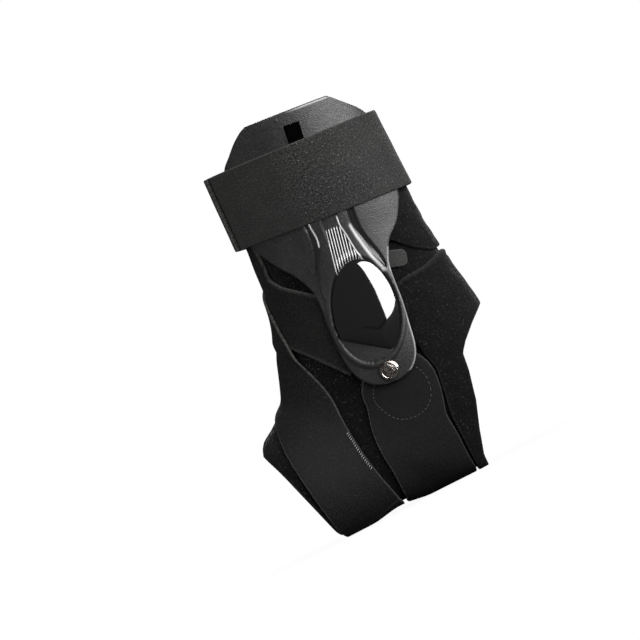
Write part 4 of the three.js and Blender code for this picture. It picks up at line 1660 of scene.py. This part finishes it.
@dataclass(frozen=True)
class PlateDrawing:
    """Lines of the plate's relief, in millimetres across from its axis and up from its rivet."""

    slot: Corners = ((-6.2, 128.0), (2.9, 128.0), (2.9, 137.0), (3.6, 147.1), (-5.6, 147.6), (-6.2, 138.0))
    scoop: Corners = ((-27, 141), (-27, 152), (-8.8, 150.5), (-5.2, 146.6), (-5.8, 131), (-27, 131))
    left_arm: tuple[Corners, Corners] = (
        ((-12, 104), (-11.8, 91), (-10.6, 83), (-11.8, 76), (-14, 70.5), (-17.6, 62), (-19.4, 51), (-17, 46)),
        ((-9, 52), (-7.2, 56), (-5.3, 65), (-4.8, 74), (-5, 83), (-5.1, 89), (-4.6, 104)),
    )
    right_arm: tuple[Corners, Corners] = (
        ((4.1, 104), (3.9, 85), (5.3, 78.6), (6.6, 71), (8.1, 64.3), (9.8, 59), (13, 53)),
        ((17, 46), (18.4, 51.6), (16.8, 56), (13.7, 64.5), (11, 74), (9.3, 80.6), (9.4, 88), (10.5, 104)),
    )
    right_groove: tuple[Corners, Corners] = (
        ((11, 104), (9.9, 88), (9.8, 80.6), (11.5, 74), (14.2, 64.5), (17.3, 56), (18.9, 52)),
        ((20.2, 56), (19.4, 62.3), (16.9, 70), (14.9, 77), (14.2, 85), (15, 104)),
    )
    left_groove: tuple[Corners, Corners] = (
        ((-15.6, 104), (-15, 92), (-14.4, 85), (-14.6, 78.4), (-16.2, 71.5), (-18.8, 63.5)),
        ((-17.6, 64), (-14.2, 70.6), (-12.1, 76), (-11, 83), (-12.2, 91), (-12.6, 104)),
    )
    beads: tuple[Corners, Corners] = (
        ((3.9, 90), (3.9, 85), (5.3, 78.6), (6.6, 71), (8.1, 64.3), (9.8, 59)),
        ((-11.9, 95), (-11.6, 90), (-10.6, 83), (-11.0, 78)),
    )
    ridge_limit: Corners = ((12, 50), (9.4, 59), (7.6, 64.3), (6.1, 71), (4.8, 78.6), (3.4, 85))
    # Lines along which a painted highlight runs: the top edge's bevel and the right arm's slope.
    painted_highlight_top: Corners = ((-3.0, 154.0), (10.0, 154.0), (22.5, 153.9))
    painted_highlight_slope: Corners = ((9.0, 83.0), (10.4, 75.0), (12.9, 65.5), (15.6, 57.5), (17.2, 53.0))

    def ridges_end(self, up: Floats) -> Floats:
        """Right limit of the ridged panel at each height."""
        limit = np.array(self.ridge_limit)
        return np.interp(up, limit[:, 1], limit[:, 0])

    def bead_lines(self) -> list[Floats]:
        """Lines of the fine beads along the inner edges of both arms."""
        return [smooth_line(bead) for bead in self.beads]

    @staticmethod
    def between(sides: Sequence[Corners]) -> Floats:
        """Outline of the strip between two smooth lines."""
        return np.vstack([smooth_line(side) for side in sides])


@dataclass
class SidePlates:
    """Both moulded side plates with their domes and rivets."""

    form: AnkleForm
    layers: Layers
    finishes: Finishes
    length: float = 162.0
    width: float = 91.0
    lean: float = math.radians(5.8)
    rivet_height: float = 73.0
    rivet_above_end: float = 7.0
    rivet_radius: float = 5.5
    rivet_rise: float = 1.8
    dome_length: float = 57.0
    dome_width: float = 35.5
    dome_rise: float = 4.5
    dome_edge: float = 0.8
    dome_centre: float = 36.0
    dome_pole: tuple[float, float] = (1.2, 28.0)
    dome_crown: float = 2.05
    ridge_pitch: float = 1.55
    ridge_top: float = 84.6
    frame_rise: float = 1.15
    groove_depth: float = 0.85
    slot_depth: float = 1.5
    drawing: PlateDrawing = PlateDrawing()
    rows: tuple[PlateRow, ...] = (
        PlateRow(0.0, 0.04, 0.04),
        PlateRow(0.015, 0.12, 0.12),
        PlateRow(0.05, 0.185, 0.18),
        PlateRow(0.1, 0.225, 0.21),
        PlateRow(0.173, 0.243, 0.222),
        PlateRow(0.247, 0.25, 0.233),
        PlateRow(0.32, 0.247, 0.233),
        PlateRow(0.377, 0.255, 0.238),
        PlateRow(0.414, 0.28, 0.255),
        PlateRow(0.463, 0.33, 0.297),
        PlateRow(0.506, 0.397, 0.37),
        PlateRow(0.556, 0.455, 0.42),
        PlateRow(0.617, 0.51, 0.455),
        PlateRow(0.735, 0.52, 0.472),
        PlateRow(0.833, 0.512, 0.475),
        PlateRow(0.889, 0.49, 0.45),
        PlateRow(0.926, 0.435, 0.405),
        PlateRow(0.963, 0.375, 0.33),
        PlateRow(0.988, 0.32, 0.28),
        PlateRow(1.0, 0.28, 0.25),
    )

    def on_side(self, flat: Floats) -> Places:
        """Places of points on the inner plate.

        Args:
            flat: Across from its axis, and up from its rivet.

        Returns:
            A place for each.
        """
        across, up = flat[:, 0], flat[:, 1]
        x = across * math.cos(self.lean) + up * math.sin(self.lean)
        z = self.rivet_height - across * math.sin(self.lean) + up * math.cos(self.lean)
        middle = (self.layers.plate_seat + self.layers.plate_top) / 2
        return self.form.place_on_side(x, z, Side.INNER, middle)

    def outline(self) -> Floats:
        """The plate's outline."""
        table = np.array([(r.up * self.length - self.rivet_above_end, r.front, r.back) for r in self.rows])
        fine = smooth_rows(table, np.linspace(0, len(table) - 1, (len(table) - 1) * 5 + 1))
        back = np.column_stack([fine[:, 2] * self.width, fine[:, 0]])
        front = np.column_stack([-fine[::-1, 1] * self.width, fine[::-1, 0]])
        return np.vstack([back, front])

    def past_ridges_start(self, flat: Floats) -> Floats:
        """How far points lie to the right of the ridged panel's left limit."""
        return flat[:, 0] + 7.8 - (flat[:, 1] - 56.6) * 0.122

    def ridges(self, flat: Floats) -> Floats:
        """Even ridges along the panel above the dome, 0 to 1."""
        return 0.5 + 0.5 * np.cos(self.past_ridges_start(flat) * 2 * math.pi / self.ridge_pitch)

    def above_ledge(self, flat: Floats) -> Floats:
        """How far points lie above the slanted line where the dome ends and the ledge below it begins."""
        return (flat[:, 1] - 17.1 + 0.62 * (flat[:, 0] + 4.9)) * 0.85

    def painted_light(self, flat: Floats) -> Floats:
        """Painted highlights: pale marks on ridge crests, beads, the top and rear edges and the right arm's
        slope.

        Args:
            flat: Points on the plate.

        Returns:
            A number from 0 to 1 for each, or down to -1 where the blind slot gets a near-black painted shade.
        """
        p, q = flat[:, 0], flat[:, 1]
        zone = (self.past_ridges_start(flat) > -0.1) & (p < self.drawing.ridges_end(q) - 0.3)
        zone &= (q > 50.0) & (q < self.ridge_top)
        rear = (p > 8.0) & (q > -4.0) & (q < 64.0)
        top = from_line(flat, np.array(self.drawing.painted_highlight_top))
        slope = from_line(flat, np.array(self.drawing.painted_highlight_slope))
        marks = [
            np.where(zone, smoothstep(self.ridges(flat), 0.72, 1.0), 0.0),
            0.35 * smoothstep(p, -4.0, 9.0) * crest(top, 0.35),
            0.5 * crest(slope, 0.8),
            rear * 0.3 * crest(inside_outline(flat, self.outline()) - 0.5, 0.4),
        ]
        marks += [crest(from_line(flat, bead), 0.3) for bead in self.drawing.bead_lines()]
        # Painted shade in the blind slot: the marks give way there and go down to -1.
        pocket = self.pocket(flat)
        return np.max(marks, axis=0) * (1.0 - pocket) - pocket

    def from_slot(self, flat: Floats) -> Floats:
        """Distance inside the blind slot near the top, negative outside it."""
        return inside_outline(flat, np.array(self.drawing.slot))

    def pocket(self, flat: Floats) -> Floats:
        """Share of the blind slot's depth, 0 to 1."""
        return smoothstep(self.from_slot(flat), 0.0, 0.12)

    def dome_line(self, turn: Floats, grow: float = 0.0) -> Floats:
        """The dome's outline.

        Args:
            turn: Angles round it, from its lower end.
            grow: How far outside the dome the line runs.

        Returns:
            Its points on the plate.
        """
        lean = -0.08 * np.cos(turn) * self.dome_width
        half = (0.5 * self.dome_width + grow) * np.sin(turn) * (1.0 + 0.06 * np.cos(turn))
        up = self.dome_centre - (0.5 * self.dome_length + grow) * np.cos(turn)
        return np.column_stack([lean + half, up])

    def relief(self, flat: Floats) -> tuple[Floats, Floats]:
        """Moulded relief on the plate's face.

        Args:
            flat: Points on the plate.

        Returns:
            Height above the plain face, and how glossy it is, for each point.
        """
        p, q = flat[:, 0], flat[:, 1]
        turns = np.linspace(0, 2 * math.pi, 96, endpoint=False)
        from_dome = -inside_outline(flat, self.dome_line(turns))
        drawing = self.drawing
        by_dome = smoothstep(from_dome, 0.7, 1.5)
        height = self.frame_rise * by_dome * (1.0 - smoothstep(from_dome, 3.0, 4.6))
        gloss = level(flat, 0.0)
        for arm in (drawing.left_arm, drawing.right_arm):
            raised = smoothstep(inside_outline(flat, drawing.between(arm)), -0.1, 0.9) * by_dome
            height = np.maximum(height, self.frame_rise * raised)
        for groove in (drawing.right_groove, drawing.left_groove):
            inside = inside_outline(flat, drawing.between(groove))
            height -= self.groove_depth * smoothstep(inside, 0.0, 0.9)
            gloss = np.maximum(gloss, smoothstep(inside, -0.3, 0.4))
        zone = smoothstep(self.past_ridges_start(flat), 0.0, 0.5) * (q > 50.0)
        zone *= smoothstep(drawing.ridges_end(q) - p, 0.0, 0.6) * smoothstep(from_dome, 0.6, 1.1)
        zone *= 1.0 - smoothstep(q, self.ridge_top, self.ridge_top + 0.6)
        height += zone * (0.5 * self.ridges(flat) - 0.1)
        gloss = np.maximum(gloss, 0.8 * zone)
        under_dome = 1.0 - smoothstep(from_dome, 0.3, 0.9)
        ledge = under_dome * (1.0 - smoothstep(self.above_ledge(flat), -0.4, 0.4))
        height += 0.9 * ledge - 0.5 * under_dome
        for bead in drawing.bead_lines():
            near = crest(from_line(flat, bead), 0.4)
            height += 0.38 * near
            gloss = np.maximum(gloss, near)
        pip = np.hypot(p + 7.9, q - 151.7)
        height += 0.5 * (1.0 - smoothstep(pip, 0.35, 0.9))
        height -= 0.14 * smoothstep(inside_outline(flat, np.array(drawing.scoop)), 0.0, 3.0)
        pocket = self.pocket(flat)
        return height - (self.slot_depth + height) * pocket, np.maximum(gloss, pocket)

    def inner_plate(self) -> bmesh.types.BMesh:
        """Mesh of the inner plate."""
        form, layers = self.form, self.layers
        across = stepped(
            (-48.5, -20.0, 1.0), (-20.0, -8.5, 0.5), (-8.5, 11.0, 0.19), (11.0, 21.0, 0.5), (21.0, 44.6, 1.0)
        )
        up = stepped((-8.0, 3.0, 0.6), (3.0, 96.0, 0.8), (96.0, 134.0, 1.6), (134.0, 156.5, 0.8))
        cut = FlatCut(across, up)
        outline = self.outline()

        def inside(flat: Floats) -> Floats:
            return inside_outline(flat, outline)

        cut.trim(inside, (0.0, 0.08, 0.3, 0.7, 1.2))
        cut.trim(self.from_slot, (-0.3, 0.0, 0.12), keep=True)

        def outer(flat: Floats) -> Floats:
            height, _ = self.relief(flat)
            edge = np.maximum(inside(flat), 0.0)
            top = layers.plate * rim(edge, 1.0, 0.55) + height * smoothstep(edge, 0.0, 1.0)
            return form.free(self.on_side(flat), layers.plate_seat + top)

        cut.lay(lambda flat: form.free(self.on_side(flat), level(flat, layers.plate_seat)), outer)
        cut.paint("gloss", lambda flat: self.relief(flat)[1])
        # The stored marks are painted highlights, with a painted shade in the blind slot.
        cut.paint("edge", self.painted_light)
        cut.close()
        return cut.bm

    def inner_dome(self) -> bmesh.types.BMesh:
        """Mesh of the inner dome."""
        form = self.form
        out = 1.0 - lines(0.0, 1.0, 0.035) ** 2
        cut = FlatCut(lines(-math.pi, math.pi, math.radians(3.0)), np.unique(out.round(6)))
        seat = self.layers.plate_top + 0.1
        centre = np.array([self.dome_pole])

        def flat_of(polar: Floats) -> Floats:
            reach = self.dome_line(polar[:, 0]) - centre
            above, past = self.above_ledge(centre), self.above_ledge(centre + reach)
            share = above / np.maximum(above - np.minimum(past, 0.0), 1e-9)
            return centre + reach * (share * polar[:, 1])[:, None]

        def outer(polar: Floats) -> Floats:
            share = polar[:, 1]
            crown = np.sqrt(np.maximum(0.0, 1.0 - share**self.dome_crown))
            return form.free(self.on_side(flat_of(polar)), seat + self.dome_edge + self.dome_rise * crown)

        def inner(polar: Floats) -> Floats:
            return form.free(self.on_side(flat_of(polar)), level(polar, seat))

        cut.lay(inner, outer, math.pi, flat_of)
        cut.close()
        return cut.bm

    def inner_rivet(self) -> bmesh.types.BMesh:
        """Mesh of the inner rivet, turned from its profile."""
        form, layers = self.form, self.layers
        radius, foot, brim = self.rivet_radius, 0.2, 0.45
        head = ((0.985, 0.3), (0.9, 0.55), (0.78, 0.68), (0.7, 0.62), (0.5, 0.74), (0.25, 0.82), (0.0, 0.84))
        profile = [(0.0, foot), (radius * 0.93, foot), (radius, brim)]
        profile += [(radius * reach, brim + up * self.rivet_rise) for reach, up in head]
        line = smooth_line(profile, 4)
        line[:, 0] = np.maximum(line[:, 0], 0.0)
        bm = bmesh.new()
        verts = [bm.verts.new((r, 0.0, h)) for r, h in line]
        edges = [bm.edges.new(pair) for pair in zip(verts, verts[1:])]
        whole = {"cent": (0, 0, 0), "axis": (0, 0, 1), "angle": 2 * math.pi}
        bmesh.ops.spin(bm, geom=verts + edges, steps=64, use_merge=True, **whole)
        bmesh.ops.remove_doubles(bm, verts=bm.verts, dist=1e-4)
        at = self.on_side(np.array([[0.0, 0.0], [0.0, 1.0]]))
        points = form.free(at, level(at.row, layers.plate_top))
        outward = Vector(form.normals(at)[0])
        upward = Vector(points[1] - points[0])
        upward = (upward - outward * upward.dot(outward)).normalized()
        turn = Matrix((upward.cross(outward), upward, outward)).transposed().to_4x4()
        place = Matrix.Scale(MILLIMETRE, 4) @ Matrix.Translation(Vector(points[0])) @ turn
        bmesh.ops.transform(bm, matrix=place, verts=bm.verts)
        bmesh.ops.recalc_face_normals(bm, faces=bm.faces)
        return bm

    def build(self) -> None:
        """Makes every piece of both sides."""
        finish = self.finishes
        makers = (
            ("plate", self.inner_plate(), finish.moulded, "moulded_plastic", 50.0),
            ("dome", self.inner_dome(), finish.polished, "polished_plastic", 70.0),
            ("rivet", self.inner_rivet(), finish.nickel, "nickel", 60.0),
        )
        for kind, bm, material, slot, crease in makers:
            other = mirrored(bm)
            to_object(bm, f"inner_{kind}_moulding", material, slot, [f"inner_{kind}"], crease)
            to_object(other, f"outer_{kind}_moulding", material, slot, [f"outer_{kind}"], crease)


# ---- Studio


@dataclass(frozen=True)
class Lamp:
    """A soft rectangular light: where it hangs, its width and height, its watts, and if it mirrors."""

    name: str
    place: tuple[float, float, float]
    size: tuple[float, float]
    power: float
    mirrored: bool


@dataclass
class Studio:
    """Pale floor, white surroundings, soft lights and the camera."""

    lamps: tuple[Lamp, ...] = (
        Lamp("key", (0.9, -0.64, 0.46), (1.4, 0.9), 40.0, True),
        Lamp("strip", (1.1, 0.05, 0.4), (0.14, 0.8), 6.0, True),
        Lamp("above", (-0.5, -0.3, 1.2), (0.9, 0.35), 9.0, False),
        Lamp("front_fill", (-1.3, -1.1, 0.5), (1.2, 1.0), 42.0, False),
        Lamp("far_fill", (0.35, 1.4, 0.6), (1.0, 0.8), 30.0, True),
    )
    target: tuple[float, float, float] = (-0.01, 0.0, 0.12)
    floor_radius: float = 14.0
    sensor: float = 36.0
    distance: float = 4.0
    sight_x: float = -0.0214
    sight_z: float = 0.1153
    frame_width: float = 0.3592
    roll: float = math.radians(27.2)

    def world(self) -> None:
        """White surroundings, dimmer as a light than as a background."""
        world = bpy.data.worlds.new("studio")
        bpy.context.scene.world = world
        world.use_nodes = True
        tree = world.node_tree
        back = tree.nodes["Background"]
        back.inputs["Color"].default_value = (1.0, 1.0, 1.0, 1.0)
        path = tree.nodes.new("ShaderNodeLightPath")
        level = tree.nodes.new("ShaderNodeMapRange")
        level.inputs["To Min"].default_value = 0.05
        level.inputs["To Max"].default_value = 1.0
        tree.links.new(path.outputs["Is Camera Ray"], level.inputs["Value"])
        tree.links.new(level.outputs[0], back.inputs["Strength"])

    def floor(self) -> None:
        """A wide pale floor that fades into the surroundings."""
        bm = bmesh.new()
        bmesh.ops.create_circle(bm, cap_ends=True, segments=96, radius=self.floor_radius)
        mesh = bpy.data.meshes.new("floor")
        bm.to_mesh(mesh)
        bm.free()
        make = Palette("pale_floor")
        at = make.node("TexCoord").outputs["Object"]
        mottle = make.noise(at, 40.0, 3.0)
        away = make.node("VectorMath", operation="LENGTH")
        make.feed(away.inputs[0], at)
        glow = make.spread(away.outputs["Value"], 0.06, 0.4, 0.94, 1.0)
        seen = make.node("LightPath").outputs["Is Camera Ray"]
        make.set(base_color=make.colours(mottle, grey(0.025), grey(0.03)), roughness=0.9)
        make.set(specular_ior_level=0.0, emission_strength=make.math("MULTIPLY", glow, seen))
        make.shader.inputs["Emission Color"].default_value = (1.0, 1.0, 1.0, 1.0)
        mesh.materials.append(make.material)
        floor = bpy.data.objects.new("floor", mesh)
        bpy.context.scene.collection.objects.link(floor)

    def light(self, lamp: Lamp) -> None:
        """Hangs a lamp so that it faces the support.

        Args:
            lamp: The lamp to hang.
        """
        area = bpy.data.lights.new(lamp.name, "AREA")
        area.shape = "RECTANGLE"
        area.size, area.size_y = lamp.size
        area.energy = lamp.power
        holder = bpy.data.objects.new(lamp.name, area)
        holder.location = lamp.place
        holder.visible_glossy = lamp.mirrored
        aim = Vector(self.target) - Vector(lamp.place)
        holder.rotation_mode = "QUATERNION"
        holder.rotation_quaternion = aim.to_track_quat("-Z", "Y")
        bpy.context.scene.collection.objects.link(holder)

    def camera(self) -> None:
        """The photograph's camera: level, straight from the inner side, and rolled."""
        lens = bpy.data.cameras.new("camera")
        lens.sensor_width = self.sensor
        lens.lens = self.sensor * self.distance / self.frame_width
        lens.clip_start, lens.clip_end = 0.05, 60.0
        camera = bpy.data.objects.new("camera", lens)
        right = Vector((math.cos(self.roll), 0.0, -math.sin(self.roll)))
        up = Vector((math.sin(self.roll), 0.0, math.cos(self.roll)))
        turn = Matrix((right, up, right.cross(up))).transposed()
        camera.rotation_mode = "QUATERNION"
        camera.rotation_quaternion = turn.to_quaternion()
        camera.location = (self.sight_x, -self.distance, self.sight_z)
        bpy.context.scene.collection.objects.link(camera)
        bpy.context.scene.camera = camera

    def build(self) -> None:
        """Sets up the whole studio."""
        bpy.context.scene.view_settings.view_transform = "Standard"
        self.world()
        self.floor()
        for lamp in self.lamps:
            self.light(lamp)
        self.camera()


def main() -> None:
    """Builds the support and the studio."""
    logging.basicConfig(level=logging.INFO, format="%(name)s: %(message)s")
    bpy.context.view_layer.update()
    form, layers = AnkleForm(), Layers()
    finishes = Finishes.build()
    sleeves = Sleeves(form, layers, finishes)
    sleeves.foot_wrap()
    sleeves.heel_panel()
    sleeves.rear_flap()
    straps = Straps(form, layers, finishes)
    straps.stirrup()
    straps.cross()
    straps.front()
    straps.tab()
    CalfBand(form, layers, finishes).build()
    SidePlates(form, layers, finishes).build()
    Studio().build()


if __name__ == "__main__":
    main()
